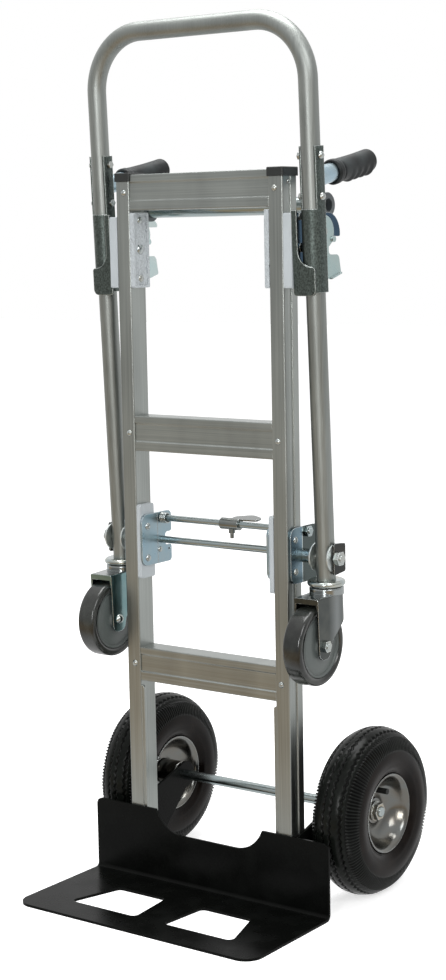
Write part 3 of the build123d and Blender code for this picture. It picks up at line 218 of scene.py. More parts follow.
def satin_aluminium(name, colour, along, low, high):
    """Extruded, anodised aluminium: fine draw lines along the bar, slow changes of tone painted as a
    reflection of the room, and edges painted bright as a highlight.

    Real draw lines are some 0.1 mm wide; they are drawn 1.6 mm wide, so that they show.
    """
    cells = [1.6, 1.6, 1.6]
    cells["XYZ".index(along)] = 220.0
    material, shader = new_finish(name, Metallic=1.0)
    lines = spread(material, cells, 4.0)
    clouds = spread(material, (60, 60, 190), 2.0)
    # Painted reflection: slow clouds of lighter and darker tone stand in for the room mirrored in the bar.
    tone = vary(material, clouds, shade(colour, 0.82), shade(colour, 1.15))
    streaks = vary(material, lines, shade(colour, 0.6), shade(colour, 1.4))
    streaked = blend(material, 0.3, tone, streaks)
    # Painted highlight: edges are mixed to 1.7 times the colour.
    edge = rounded(material, 1.4)
    feed(material, shader, {
        "Base Color": blend(material, painted_edge_highlight(material, edge), streaked, shade(colour, 1.7)),
        "Roughness": rough(material, lines, low, high), "Normal": relief(material, lines, 0.03, edge)})
    return material


def gloss_paint(name, colour):
    """Black powder coat on steel sheet: deep gloss with the slight waviness called orange peel."""
    material, shader = new_finish(name, IOR=1.5, Specular_IOR_Level=0.06)
    peel = spread(material, (3.0, 3.0, 3.0), 1.0)
    dust = spread(material, (45, 45, 45), 5.0)
    feed(material, shader, {
        "Base Color": vary(material, dust, colour, shade(colour, 1.9), (0.45, 0.8)),
        "Roughness": rough(material, dust, 0.2, 0.34),
        "Normal": relief(material, peel, 0.05, rounded(material, 1.0))})
    return material


def zinc_plate(name, colour, cool, warm, low, high):
    """Zinc-plated steel: bright, with cool and warm patches from the passivation and edges painted bright as
    a highlight.

    The grain of the plating is drawn at 2.2 mm, coarser than it is, so that it shows.
    """
    material, shader = new_finish(name, Metallic=1.0)
    patches = spread(material, (26, 26, 26), 4.0)
    grain = spread(material, (2.2, 2.2, 2.2), 2.0)
    tint = vary(material, patches, linear(cool), linear(warm))
    tinted = blend(material, 0.4, colour, tint)
    edge = rounded(material, 1.2)
    # Painted highlight: edges are mixed to a near-white.
    feed(material, shader, {
        "Base Color": blend(material, painted_edge_highlight(material, edge), tinted, linear("#d3d8d8")),
        "Roughness": rough(material, patches, low, high), "Normal": relief(material, grain, 0.02, edge)})
    return material


def banded(material, axis, low, high, colour, fade=0.2):
    """Lay a colour over a finish where an Object coordinate lies between two values, all in mm.

    The colour sets in over the width of fade at either end.
    """
    shader = material.node_tree.nodes["Principled BSDF"]
    place = add(material, "ShaderNodeTexCoord").outputs["Object"]
    along = add(material, "ShaderNodeSeparateXYZ", {0: place}).outputs[axis]
    centre = (low + high) / 2 * MM
    off = add(material, "ShaderNodeMath", {0: along, 1: centre}, operation="SUBTRACT").outputs[0]
    off = add(material, "ShaderNodeMath", {0: off}, operation="ABSOLUTE").outputs[0]
    inside = add(material, "ShaderNodeMapRange", {
        "Value": off, "From Min": (high - low + fade) / 2 * MM, "From Max": (high - low - fade) / 2 * MM})
    under = shader.inputs["Base Color"].links[0].from_socket
    feed(material, shader, {"Base Color": blend(material, inside.outputs["Result"], under, colour)})
    return material


def mottled_steel(name, colour):
    """Dark plated steel: specks of light and dark oxide, a soft sheen and edges painted bright as a
    highlight.

    The specks are drawn at 2.2 to 3 mm, coarser than they are, so that they show.
    """
    material, shader = new_finish(name, Metallic=0.9)
    specks = spread(material, (2.2, 2.2, 3.0), 5.0)
    clouds = spread(material, (40, 40, 60), 2.0)
    tone = vary(material, specks, shade(colour, 0.55), shade(colour, 1.45), (0.34, 0.66))
    edge = rounded(material, 1.8)
    # Painted highlight: edges are mixed to a pale grey.
    feed(material, shader, {
        "Base Color": blend(material, painted_edge_highlight(material, edge), tone, linear("#c3c9c6")),
        "Roughness": rough(material, clouds, 0.36, 0.5), "Normal": relief(material, specks, 0.02, edge)})
    return material


def moulded_plastic(name, colour, roughness, cells_mm=1.8, depth_mm=0.04):
    """Moulded nylon or ABS: faint flow marks and a grained surface, which wide cells turn into dimples.

    The grain is drawn at 1.8 mm, coarser than it is, so that it shows.
    """
    material, shader = new_finish(name, IOR=1.53)
    flow = spread(material, (30, 30, 50), 3.0)
    grain = spread(material, (cells_mm, cells_mm, cells_mm), 2.0)
    feed(material, shader, {
        "Base Color": vary(material, flow, shade(colour, 0.93), shade(colour, 1.05)),
        "Roughness": rough(material, grain, roughness - 0.05, roughness + 0.06),
        "Normal": relief(material, grain, depth_mm, rounded(material, 0.8))})
    return material


def soft_rubber(name, colour, roughness, dusty, gloss=0.25):
    """Moulded rubber: black with a grey bloom of dust and a pebbled skin.

    The pebbles are drawn at 2 mm, coarser than they are, so that they show.
    """
    material, shader = new_finish(name, IOR=1.5, Specular_IOR_Level=gloss)
    bloom = spread(material, (35, 35, 35), 5.0)
    pebble = spread(material, (2.0, 2.0, 2.0), 2.0)
    feed(material, shader, {
        "Base Color": vary(material, bloom, colour, linear(dusty), (0.42, 0.85)),
        "Roughness": rough(material, bloom, roughness - 0.08, roughness + 0.08),
        "Normal": relief(material, pebble, 0.08, rounded(material, 0.5))})
    return material


def tyre_rubber(name, colour):
    """Moulded tyre rubber: grey-black ribs, cuts painted black as shade and a browner, smooth sidewall.

    Cuts and sidewall come from the surface's attributes. The pebbled skin is drawn at 2 mm, so that it shows.
    """
    material, shader = new_finish(name, IOR=1.5, Specular_IOR_Level=0.1)
    bloom = spread(material, (30, 30, 30), 5.0)
    pebble = spread(material, (2.0, 2.0, 2.0), 2.0)
    wall = add(material, "ShaderNodeAttribute", attribute_name="sidewall").outputs["Fac"]
    cut = add(material, "ShaderNodeAttribute", attribute_name="cut").outputs["Fac"]
    rib = vary(material, bloom, colour, shade(colour, 2.0), (0.4, 0.8))
    # Painted shade: the cuts are drawn at 0.15 of the rubber's colour.
    tread = blend(material, cut, rib, shade(colour, 0.15))
    side = vary(material, bloom, linear("#0a0706"), linear("#1a1410"), (0.35, 0.75))
    bump = add(material, "ShaderNodeBump", {"Height": pebble, "Distance": 0.06 * MM})
    feed(material, shader, {
        "Base Color": blend(material, wall, tread, side), "Roughness": rough(material, bloom, 0.14, 0.26),
        "Normal": bump.outputs["Normal"]})
    return material


def through(points, count):
    """Smooth line through points: cubic Hermite pieces whose slope at a point is half the step across it."""
    p = np.asarray(points, float)
    slope = np.gradient(p, axis=0)
    t = np.linspace(0, len(p) - 1, count)
    i = np.minimum(t.astype(int), len(p) - 2)
    f = (t - i)[:, None]
    return ((2 * f ** 3 - 3 * f ** 2 + 1) * p[i] + (f ** 3 - 2 * f ** 2 + f) * slope[i]
            + (3 * f ** 2 - 2 * f ** 3) * p[i + 1] + (f ** 3 - f ** 2) * slope[i + 1])


def smoothstep(low, high, value):
    """3 t^2 - 2 t^3 of t = (value - low) / (high - low) held to 0..1."""
    t = np.clip((value - low) / (high - low), 0, 1)
    return t * t * (3 - 2 * t)


def lay_grid(name, points, material):
    """Closed mesh from points (rows, columns, 3) whose rows and columns both run round, faces outwards."""
    rows, columns = points.shape[:2]
    index = np.arange(rows * columns).reshape(rows, columns)
    index = np.concatenate([index, index[:1]], axis=0)
    index = np.concatenate([index, index[:, :1]], axis=1)
    faces = np.stack([index[:-1, :-1], index[1:, :-1], index[1:, 1:], index[:-1, 1:]], axis=-1).reshape(-1, 4)
    flat = points.reshape(-1, 3)
    a, b, c, d = (flat[faces[:, i]] for i in range(4))
    if np.sum(a * np.cross(b, c)) + np.sum(a * np.cross(c, d)) < 0:
        faces = faces[:, ::-1]
    mesh = bpy.data.meshes.new(name)
    mesh.from_pydata(flat.tolist(), [], faces.tolist(), shade_flat=False)
    mesh.materials.append(material)
    piece = bpy.data.objects.new(name, mesh)
    bpy.context.scene.collection.objects.link(piece)
    return piece


def turn(profile, centre, steps):
    """Surface turned about an X axle: the profile's (x, r) at angle a lies at (x, r cos a, r sin a)."""
    angle = np.linspace(0, 2 * pi, steps, endpoint=False)
    x, r = profile[:, :1], profile[:, 1:]
    flat = np.zeros_like(angle)
    return np.stack([x + flat, r * np.cos(angle), r * np.sin(angle)], axis=-1) * MM + np.asarray(centre)


def middle(node):
    """Middle of a solid's box."""
    low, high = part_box(node)
    return np.array((low + high) / 2)


def finish(material, *nodes):
    """Give solids a material."""
    for node in nodes:
        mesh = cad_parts[node].data
        mesh.materials.clear()
        mesh.materials.append(material)


def pair(name):
    """Names of the left and right piece."""
    return [f"{side}_{name}" for side in SIDES]


def tyre_profile():
    """Section of a tyre as (x, r) in mm: outer skin from bead to bead over the crown, then inner skin back.

    The crown is an arc and each wall a smooth line. The number of points on the outer skin comes along.
    """
    crown_half, crown_centre, crown_bend = 23.5, 87.06, 42.94
    wall = through([(crown_half, 123), (31.3, 115), (37, 102.5), (40, 86), (37, 70), (31.5, 62)], 31)
    crown_x = np.linspace(-crown_half, crown_half, 39)
    crown = np.stack([crown_x, crown_centre + np.sqrt(crown_bend ** 2 - crown_x ** 2)], axis=-1)
    bead = np.array([(28, 59.8), (23, 58.8), (22, 62), (28, 73), (32, 86), (28.5, 98), (15.5, 115)])
    outer = np.concatenate([(wall * MIRROR)[:0:-1], crown, wall[1:]])
    inner = np.concatenate([bead, [(0, 122)], (bead * MIRROR)[::-1]])
    return np.concatenate([outer, inner]), len(outer)


def tyre_surface(centre, sizes, steps):
    """Tyre as the section turned about its axle less its cuts, which lie along the section's own normal.

    The crown has four grooves round it that zigzag with the lugs, each a bell curve across. The shoulder has
    a ring cut and below it one cut per lug, a raised cosine round the tyre that lies half above and half
    below the section. The side has two thin raised rings. Sizes are in mm, the points in metres; the shares
    of sidewall and of cut, which the finish paints black as shade, come along.
    """
    grooves, groove_half, sway, crown_foot = (-21.0, -6.0, 6.0, 21.0), 1.5, 1.3, 121
    ring_cut, ring_half, ring_foot = 27.5, 1.2, 110
    lug_x, lug_foot, tread_foot = 28, 98, 95
    upper_ring, lower_ring, ring_height = 96, 72, 0.7
    profile, skin = tyre_profile()
    x, r = profile[:, :1], profile[:, 1:]
    along = np.gradient(profile, axis=0)
    normal = along[:, ::-1] * MIRROR / np.linalg.norm(along, axis=1, keepdims=True)
    angle = np.linspace(0, 2 * pi, steps, endpoint=False)[None, :]
    outer = (np.arange(len(profile)) < skin)[:, None]
    zigzag = 2 / pi * np.arcsin(np.sin(sizes.lugs / 2 * angle))
    cuts = np.zeros((len(profile), steps))
    for groove in grooves:
        cuts += np.exp(-((x - groove - sway * zigzag) / groove_half) ** 4) * (r > crown_foot)
    cuts += 0.5 * np.exp(-((np.abs(x) - ring_cut) / ring_half) ** 4) * (r > ring_foot)
    lug = smoothstep(0.4, 0.75, 0.5 + 0.5 * np.cos(sizes.lugs * angle))
    shoulder = smoothstep(lug_x, lug_x + 1, np.abs(x)) * smoothstep(lug_foot, lug_foot + 3, r)
    # Share of cut, which the finish paints near-black as shade.
    dark = np.clip(cuts + shoulder * lug, 0, 1) * outer * (r > tread_foot)
    cuts = cuts * sizes.groove_depth / MM + shoulder * (lug - 0.5) * sizes.lug_depth / MM
    rings = np.exp(-((r - upper_ring) / 1.0) ** 2) + 0.7 * np.exp(-((r - lower_ring) / 1.2) ** 2)
    height = (ring_height * rings - cuts * (r > tread_foot)) * outer
    radius = r + normal[:, 1:] * height
    points = np.stack([x + normal[:, :1] * height, radius * np.cos(angle), radius * np.sin(angle)], axis=-1)
    side = np.broadcast_to(1 - smoothstep(lug_foot - 4, lug_foot, r), radius.shape)
    return points * MM + np.asarray(centre), {"sidewall": side, "cut": dark}


def grip_surface(sizes, rows=150, columns=72):
    """Grip along its own Z as r(z, a): a collar at the front, swells under the fingers and a rounded end.

    Swells are cosines along z, raised to the downward side by max(0, cos a)^1.5. The inner skin returns
    through the bore, so that the surface is closed. Sizes are in mm.
    """
    start, length, collar, tip = 52.0, 106.5, 12.0, 8
    body_r, bore_r, bore_end = 17.5, 14.2, 6.0
    waist, collar_rise, lip, neck = 0.8, 1.1, 2.0, 1.2
    z = np.linspace(0, 1, rows)[:, None] * length
    angle = np.linspace(0, 2 * pi, columns, endpoint=False)[None, :]
    body = body_r - waist * np.sin(pi * np.clip((z - collar) / (length - collar), 0, 1))
    body = body + collar_rise * (1 - smoothstep(collar - 3, collar + 2, z))
    body = body - lip * (1 - smoothstep(0, 2.2, z)) - neck * np.exp(-((z - collar - 2.5) / 1.6) ** 2)
    tail = np.clip((z - (length - tip)) / tip, 0, 1)
    body = body * np.sqrt(np.clip(1 - tail ** 2.2, 0.0009, 1))
    first, span = 0.3 * length, 0.63 * length
    phase = np.clip((z - first) / span, 0, 1) * sizes.finger_swells
    swell = (0.5 - 0.5 * np.cos(2 * pi * phase)) * sizes.finger_depth / MM
    radius = body + swell * np.maximum(0, np.cos(angle)) ** 1.5
    bore_z = np.array([[length - bore_end], [0.0]])
    inner = np.full((2, columns), bore_r)
    z_all = np.concatenate([z + 0 * angle, bore_z + 0 * angle])
    r_all = np.concatenate([radius, inner])
    return np.stack([r_all * np.sin(angle), r_all * np.cos(angle), z_all + start], axis=-1)


def on_loop(points, side):
    """Carry points (mm) from a leg's own axis, z = 0 at the pivot, to the leg: lean, mirror for the left."""
    lean, leg_x, pivot = radians(2.58), 194.2, (6.25, 540.0)
    x, y, z = points[..., 0] + leg_x, points[..., 1], points[..., 2]
    y, z = y * cos(lean) - z * sin(lean) + pivot[0], y * sin(lean) + z * cos(lean) + pivot[1]
    return np.stack([x if side == "right" else -x, y, z], axis=-1) * MM


def on_grip(points, side):
    """Carry a grip from its own axis to the leg: tilt it to the back at its height on the leg."""
    tilt, rise = radians(8.3 - 90), 551.5
    y, z = points[..., 1], points[..., 2]
    y, z = y * cos(tilt) - z * sin(tilt), y * sin(tilt) + z * cos(tilt) + rise
    return on_loop(np.stack([points[..., 0], y, z], axis=-1), side)


def raceway_surface(steps=96):
    """Caster raceway and kingpin turned about the leg: (r, z) at angle a lies at (r cos a, r sin a, z).

    The rim of the raceway is half a circle; the kingpin below it ends in a flat head.
    """
    bend, lip, rim_r, rim_z = np.linspace(pi / 2, -pi / 2, 17), 4.5, 24, -37.5
    rim = np.stack([rim_r + lip * np.cos(bend), rim_z + lip * np.sin(bend)], axis=-1)
    pin = [(6, -42), (6, -54.8), (9.5, -54.8), (9.5, -58.3), (0.2, -58.3), (0.2, -33), (15, -33)]
    profile = np.concatenate([rim, pin])
    angle = np.linspace(0, 2 * pi, steps, endpoint=False)
    r, z = profile[:, :1], profile[:, 1:]
    return np.stack([r * np.cos(angle), r * np.sin(angle), z + 0 * angle], axis=-1)


def caster_profiles(sizes):
    """Sections of a caster's tread and hub as closed (x, r) loops in mm.

    The tread's edges are quarter circles and the hub's face has one pressed ring.
    """
    corner, bend, bend_x, bend_r = np.linspace(0, pi / 2, 9), 5.5, 10.5, 54.3
    edge = np.stack([bend_x + bend * np.sin(corner), bend_r + bend * np.cos(corner)], axis=-1)
    crown = [(-6, 60.0), (0, 60.0), (6, 60.0)]
    seat = [(15.6, 48.3), (-15.6, 48.3)]
    tread = np.concatenate([crown, edge, seat, (edge * MIRROR)[::-1]])
    ring = sizes.hub_ring / MM
    face = np.array([
        (17.5, 5.1), (17.5, 10.5), (17.0, 11.8), (16.0, 13.0), (14.4, 13.8), (13.2, 15.5), (13.0, 18.0),
        (13.0, ring - 1.8), (12.6, ring - 1.2), (12.1, ring - 0.7), (12.1, ring + 0.8), (12.8, ring + 1.3),
        (13.8, ring + 1.9), (14.0, ring + 2.6), (14.0, 47.2), (13.6, 47.9)])
    return tread, np.concatenate([face, (face * MIRROR)[::-1]])


class TRUCK_OT_tyres(bpy.types.Operator):
    """Build the treaded tyres of the main wheels"""

    bl_idname = "truck.tyres"
    bl_label = "Tyres"

    def execute(self, context):
        look, sizes = context.scene.truck_colours, context.scene.truck_sizes
        material = tyre_rubber("tyre_rubber_moulded", look.rubber)
        steps_per_lug = 6
        for side in SIDES:
            points, tones = tyre_surface(middle(f"{side}_tyre"), sizes, steps_per_lug * sizes.lugs)
            piece = lay_grid(f"{side}_treaded_tyre", points, material)
            for name, values in tones.items():
                tone = piece.data.attributes.new(name, "FLOAT", "POINT")
                tone.data.foreach_set("value", values.ravel().astype(np.float32))
            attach(piece, f"{side}_wheel")
            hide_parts(f"{side}_tyre")
        return {"FINISHED"}


class TRUCK_OT_rims(bpy.types.Operator):
    """Finish the dished rims and the valves"""

    bl_idname = "truck.rims"
    bl_label = "Rims"

    def execute(self, context):
        look = context.scene.truck_colours
        # The warm patches are partly the plating's tint and partly a painted reflection of the brown tyre.
        steel = zinc_plate("bright_rim_steel", look.rim, "#72777a", "#7a7065", 0.13, 0.24)
        finish(steel, *pair("rim"))
        finish(soft_rubber("valve_rubber_moulded", look.rubber, 0.5, "#2c2d2c"), *pair("valve"))
        return {"FINISHED"}


class TRUCK_OT_casters(bpy.types.Operator):
    """Build the caster wheels and finish their forks"""

    bl_idname = "truck.casters"
    bl_label = "Casters"

    def execute(self, context):
        look, sizes = context.scene.truck_colours, context.scene.truck_sizes
        rubber = soft_rubber("caster_tread_rubber", look.caster_rubber, 0.16, "#3b3e3a", gloss=0.6)
        plastic = moulded_plastic("caster_hub_polypropylene", look.caster_hub, 0.4)
        tread, hub = caster_profiles(sizes)
        for side in SIDES:
            centre = middle(f"{side}_caster_tread")
            for part, profile, material, slot in (
                    ("tread", tread, rubber, "caster_rubber"), ("hub", hub, plastic, "grey_plastic")):
                piece = lay_grid(f"{side}_caster_{part}_turned", turn(profile, centre, steps=128), material)
                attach(piece, f"{side}_caster")
                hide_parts(f"{side}_caster_{part}")
        # The two forks are one zinc, drawn as two copies for how the light falls on each: teal and lighter on
        # the left, dark on the right. Both have a painted highlight on their top; the right one also a soft
        # painted highlight streak down its side.
        crown_z, crown_highlight = (486.5, 520), shade(look.zinc, 0.75)
        teal = zinc_plate("teal_fork_zinc_painted_light", linear("#7a9496"), "#5b7a7e", "#93a5a3", 0.12, 0.24)
        finish(banded(teal, "Z", *crown_z, crown_highlight), "left_caster_fork")
        grey = zinc_plate("grey_fork_zinc_painted_light", shade(look.zinc, 0.17), "#2f3938", "#63665f", 0.12, 0.24)
        banded(grey, "Y", -8, 16, shade(look.zinc, 0.5), fade=20)
        finish(banded(grey, "Z", *crown_z, crown_highlight), "right_caster_fork")
        bright = zinc_plate("raceway_zinc", look.zinc, "#9fb0b4", "#c4bda2", 0.14, 0.26)
        finish(bright, *pair("caster_axle"))
        for side in SIDES:
            piece = lay_grid(f"{side}_raceway", on_loop(raceway_surface(), side), bright)
            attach(piece, "loop")
            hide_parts("caster_cups")
        return {"FINISHED"}


class TRUCK_OT_grips(bpy.types.Operator):
    """Build the soft grips and finish their tubes"""

    bl_idname = "truck.grips"
    bl_label = "Grips"

    def execute(self, context):
        look, sizes = context.scene.truck_colours, context.scene.truck_sizes
        rubber = soft_rubber("grip_vinyl", look.grip, 0.46, "#3c4243")
        for side in SIDES:
            piece = lay_grid(f"{side}_moulded_grip", on_grip(grip_surface(sizes), side), rubber)
            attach(piece, "loop")
            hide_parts(f"{side}_grip")
        finish(zinc_plate("grip_tube_zinc", look.blue_zinc, "#a4bfd0", "#bfc7c4", 0.2, 0.32), "grip_tubes")
        return {"FINISHED"}


class TRUCK_OT_aluminium(bpy.types.Operator):
    """Finish the rails, crossbars, loop handle and legs"""

    bl_idname = "truck.aluminium"
    bl_label = "Aluminium"

    def execute(self, context):
        colour = context.scene.truck_colours.aluminium
        finish(satin_aluminium("aluminium_rails", colour, "Z", 0.28, 0.42), *pair("rail"))
        # Painted shade: the tubes are the rails' aluminium drawn 0.88 as light.
        finish(satin_aluminium("aluminium_tube_painted_shade", shade(colour, 0.88), "Z", 0.4, 0.52),
               *pair("leg"), "loop_handle")
        finish(satin_aluminium("aluminium_crossbars", colour, "X", 0.28, 0.42),
               "top_crossbar", "middle_crossbar", "lower_crossbar")
        return {"FINISHED"}


class TRUCK_OT_steelwork(bpy.types.Operator):
    """Finish the painted, plated and dark steel"""

    bl_idname = "truck.steelwork"
    bl_label = "Steelwork"

    def execute(self, context):
        look = context.scene.truck_colours
        finish(gloss_paint("black_powder_coat", look.paint), "nose_plate", *pair("axle_bracket"))
        finish(zinc_plate("bright_zinc", look.zinc, "#a3afb2", "#bdb9ab", 0.18, 0.32),
               "rail_rivets", "rail_bolts", "plate_bolts", "carriage_screws", "pivot_studs",
               "pivot_spacers", "release_spring", "sleeve_bolts")
        # Painted reflection: the discs are the zinc drawn 1.5 times as light, for a bright thing mirrored in
        # them.
        finish(zinc_plate("brushed_disc_zinc_painted_light", shade(look.zinc, 1.5), "#bcc8ca", "#cfd0c8", 0.4, 0.55),
               "leg_discs")
        # Painted shade: the keeper plates are the zinc drawn at a tenth of its lightness, behind the nuts.
        finish(zinc_plate("keeper_zinc_painted_shade", shade(look.zinc, 0.1), "#232726", "#453f39", 0.16, 0.3),
               "keeper_plates")
        finish(zinc_plate("rolled_lever_zinc", shade(look.zinc, 0.55), "#6f7775", "#8d8d84", 0.16, 0.28),
               "release_lever")
        finish(zinc_plate("straw_zinc", shade(look.zinc, 0.8), "#8d9496", "#b89c68", 0.14, 0.26), "axle_nuts")
        finish(zinc_plate("polished_rod_zinc", linear("#a5aeae"), "#86999f", "#9a9e9a", 0.14, 0.24),
               "axle", "rear_bar", "cross_rod", "release_rod")
        finish(zinc_plate("blue_zinc", look.blue_zinc, "#7f9aa6", "#a8aeab", 0.26, 0.42),
               "dock_plates", "inner_plates")
        # The outer plates are the blue zinc drawn darker, with a painted highlight line along the bend and
        # painted shade on the rear half behind it.
        outer = zinc_plate("mid_blue_zinc_painted_shade", shade(look.blue_zinc, 0.55), "#527a97", "#8ba3ad", 0.2, 0.34)
        banded(outer, "Y", 0.5, 60, linear("#4a5352"))
        finish(banded(outer, "Y", 0, 1.2, linear("#d3dcdc")), "outer_plates")
        # Side plates and latches are one zinc drawn for how the light falls on each side: the right side
        # plate deep blue and the right latch darker as painted shade, the left side plate and latch pale as
        # painted light.
        finish(zinc_plate("deep_blue_zinc_painted_shade", shade(look.blue_zinc, 0.14), "#123f63", "#335f80", 0.14, 0.28),
               "right_side_plate")
        finish(zinc_plate("pale_zinc_painted_light", linear("#c3d0d0"), "#b2cccc", "#d0d8d4", 0.2, 0.34),
               "left_side_plate", "left_latch")
        finish(zinc_plate("cool_latch_zinc_painted_shade", linear("#a3b5b5"), "#8fabad", "#b5bfba", 0.2, 0.34),
               "right_latch")
        finish(mottled_steel("dark_sleeve_steel", look.dark_steel), *pair("sleeve"))
        return {"FINISHED"}


class TRUCK_OT_plastics(bpy.types.Operator):
    """Finish the blocks, pads, caps and bushes"""

    bl_idname = "truck.plastics"
    bl_label = "Plastics"

    def execute(self, context):
        look = context.scene.truck_colours
        finish(moulded_plastic("white_nylon", look.nylon, 0.42), "outer_blocks", "dock_pads", "slider_shoes")
        finish(moulded_plastic("dimpled_nylon", look.nylon, 0.36, cells_mm=6.5, depth_mm=4.0), "inner_blocks")
        finish(moulded_plastic("black_cap_plastic", linear("#191c1b"), 0.42), "rail_caps")
        finish(moulded_plastic("grey_bush_plastic", linear("#4f5557"), 0.45), "bar_bushes")
        return {"FINISHED"}


def photo_camera():
    """Camera at the photograph's place: turned, tilted and rolled; its lens is the focal length in pixels."""
    yaw, pitch, roll = radians(36.33), radians(-7.72), radians(-1.07)
    focal_px, height_px = 1901.13, 980
    ahead = Vector((-sin(yaw) * cos(pitch), cos(yaw) * cos(pitch), sin(pitch)))
    level = Vector((cos(yaw), sin(yaw), 0.0))
    upright = level.cross(ahead)
    across = level * cos(roll) + upright * sin(roll)
    up = upright * cos(roll) - level * sin(roll)
    data = bpy.data.cameras.new("photo_camera")
    data.sensor_width = 36.0
    data.lens = focal_px / height_px * data.sensor_width
    camera = bpy.data.objects.new("photo_camera", data)
    camera.matrix_world = Matrix((across, up, -ahead)).transposed().to_4x4()
    camera.location = (1.7123, -2.31025, 1.01788)
    bpy.context.scene.collection.objects.link(camera)
    bpy.context.scene.camera = camera


def softbox(name, place, aim, width, height, watts):
    """Area lamp turned towards a point, seen in reflections and not by the camera."""
    data = bpy.data.lights.new(name, "AREA")
    data.shape = "RECTANGLE"
    data.size, data.size_y = width, height
    data.energy = watts
    lamp = bpy.data.objects.new(name, data)
    lamp.location = place
    lamp.rotation_mode = "QUATERNION"
    lamp.rotation_quaternion = (Vector(aim) - Vector(place)).to_track_quat("-Z", "Y")
    lamp.visible_camera = False
    bpy.context.scene.collection.objects.link(lamp)


def white_world(room, light):
    """World: white for the camera and behind the truck, dimmer as a light.

    In a reflection the white backdrop fades into a grey room behind the camera, with a pale ceiling above it.
    """
    away = (-0.592, 0.806, 0.0)  # level direction in which the camera looks
    world = bpy.data.worlds.new("studio")
    world.use_nodes = True
    bpy.context.scene.world = world
    path = add(world, "ShaderNodeLightPath").outputs
    way = add(world, "ShaderNodeTexCoord").outputs["Generated"]
    ahead = add(world, "ShaderNodeVectorMath", {0: way, 1: away}, operation="DOT_PRODUCT")
    above = add(world, "ShaderNodeSeparateXYZ", {0: way}).outputs["Z"]
    backdrop = add(world, "ShaderNodeMapRange", {
        "Value": ahead.outputs["Value"], "From Min": -0.25, "From Max": 0.45, "To Min": room, "To Max": 1.0})
    ceiling = add(world, "ShaderNodeMapRange", {
        "Value": above, "From Min": 0.2, "From Max": 0.75, "To Min": room, "To Max": 1.0})
    mirrored = add(world, "ShaderNodeMath", {
        0: backdrop.outputs["Result"], 1: ceiling.outputs["Result"]}, operation="MAXIMUM")
    seen = add(world, "ShaderNodeMath", {
        0: path["Is Camera Ray"], 1: path["Is Transmission Ray"]}, operation="MAXIMUM")
    # Sockets 2 and 3 are a Mix node's two numbers.
    level = add(world, "ShaderNodeMix", {0: path["Is Glossy Ray"], 2: light, 3: mirrored.outputs[0]})
    level = add(world, "ShaderNodeMix", {0: seen.outputs[0], 2: level.outputs[0], 3: 1.0})
    feed(world, world.node_tree.nodes["Background"], {
        "Color": (1.0, 1.0, 1.0, 1.0), "Strength": level.outputs[0]})


def pale_floor(paper, boards):
    """Floor of 30 m: white paper under and behind the truck that glows just enough to end in white.

    The camera sees paper everywhere, with the truck's shadow. A reflection sees plain white paper that ends
    a little in front of the truck, where the boards of the room begin, paler further off.
    """
    white, half = (1.0, 1.0, 1.0, 1.0), 15.0
    boards_y, paper_edge_y, glow_share = (-3.0, -1.0), (-0.7, -0.3), 0.62
    material, shader = new_finish("studio_floor", Base_Color=paper, Roughness=0.9, Emission_Color=white)
    path = add(material, "ShaderNodeLightPath").outputs
    place = add(material, "ShaderNodeTexCoord").outputs["Object"]
    depth = add(material, "ShaderNodeSeparateXYZ", {0: place}).outputs["Y"]
    boards = vary(material, depth, linear("#c9c8c3"), boards, boards_y)
    sheet = vary(material, depth, boards, white, paper_edge_y)
    glow = add(material, "ShaderNodeMath", {0: path["Is Camera Ray"], 1: glow_share}, operation="MULTIPLY")
    feed(material, shader, {"Emission Strength": glow.outputs[0]})
    mirrored = add(material, "ShaderNodeEmission", {"Color": sheet})
    seen = add(material, "ShaderNodeMixShader", {
        0: path["Is Glossy Ray"], 1: shader.outputs[0], 2: mirrored.outputs[0]})
    feed(material, material.node_tree.nodes["Material Output"], {"Surface": seen.outputs[0]})
    corners = [(-half, -half, 0.0), (half, -half, 0.0), (half, half, 0.0), (-half, half, 0.0)]
    mesh = bpy.data.meshes.new("studio_floor")
    mesh.from_pydata(corners, [], [(0, 1, 2, 3)])
    mesh.materials.append(material)
    floor = bpy.data.objects.new("studio_floor", mesh)
    bpy.context.scene.collection.objects.link(floor)


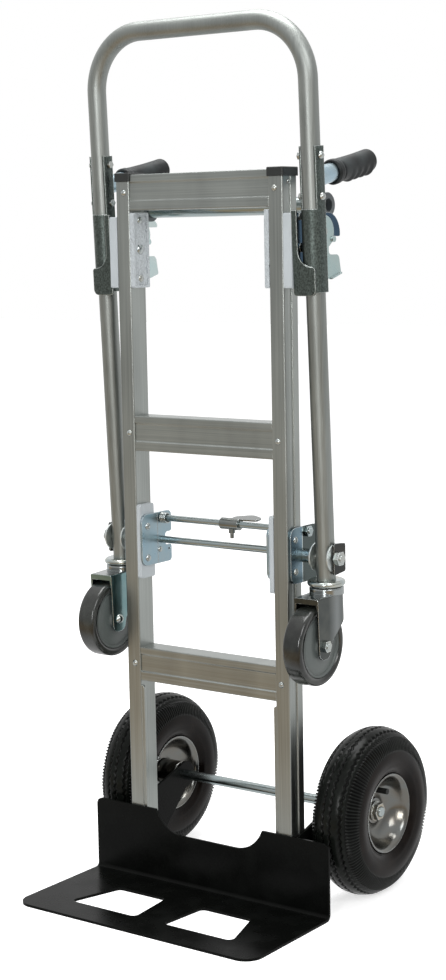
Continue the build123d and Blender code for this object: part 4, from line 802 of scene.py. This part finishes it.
class TRUCK_OT_stage(bpy.types.Operator):
    """Set up camera, floor, lamps and world"""

    bl_idname = "truck.stage"
    bl_label = "Stage"

    def execute(self, context):
        context.scene.view_settings.view_transform = "Standard"
        photo_camera()
        look = context.scene.truck_colours
        pale_floor(look.paper, look.boards)
        white_world(room=0.6, light=0.55)
        aim = (0.0, 0.0, 0.6)
        softbox("key_lamp", (2.8, -1.8, 2.8), aim, 1.6, 1.6, 40.0)
        softbox("strip_lamp", (1.1, -2.8, 1.2), aim, 0.5, 1.0, 24.0)
        softbox("top_lamp", (-0.3, 0.3, 3.6), aim, 2.2, 2.2, 105.0)
        return {"FINISHED"}


OPERATORS = (
    TRUCK_OT_stage, TRUCK_OT_tyres, TRUCK_OT_rims, TRUCK_OT_casters, TRUCK_OT_grips, TRUCK_OT_aluminium,
    TRUCK_OT_steelwork, TRUCK_OT_plastics)


class TRUCK_PT_panel(bpy.types.Panel):
    """Sidebar panel with the pieces, their sizes and their colours"""

    bl_label = "Hand Truck"
    bl_idname = "TRUCK_PT_panel"
    bl_space_type = "VIEW_3D"
    bl_region_type = "UI"
    bl_category = "Hand Truck"

    def draw(self, context):
        for operator in OPERATORS:
            self.layout.operator(operator.bl_idname)
        for group in (context.scene.truck_sizes, context.scene.truck_colours):
            for name in group.__annotations__:
                self.layout.prop(group, name)


CLASSES = (TruckColours, TruckSizes, *OPERATORS, TRUCK_PT_panel)


def register():
    """Register the classes and hang the sizes and colours on the scene."""
    for item in CLASSES:
        bpy.utils.register_class(item)
    bpy.types.Scene.truck_colours = bpy.props.PointerProperty(type=TruckColours)
    bpy.types.Scene.truck_sizes = bpy.props.PointerProperty(type=TruckSizes)


def unregister():
    """Take back what register did."""
    del bpy.types.Scene.truck_sizes
    del bpy.types.Scene.truck_colours
    for item in reversed(CLASSES):
        bpy.utils.unregister_class(item)


def main():
    """Build everything."""
    register()
    bpy.ops.truck.stage()
    bpy.ops.truck.tyres()
    bpy.ops.truck.rims()
    bpy.ops.truck.casters()
    bpy.ops.truck.grips()
    bpy.ops.truck.aluminium()
    bpy.ops.truck.steelwork()
    bpy.ops.truck.plastics()


if __name__ == "__main__":
    main()
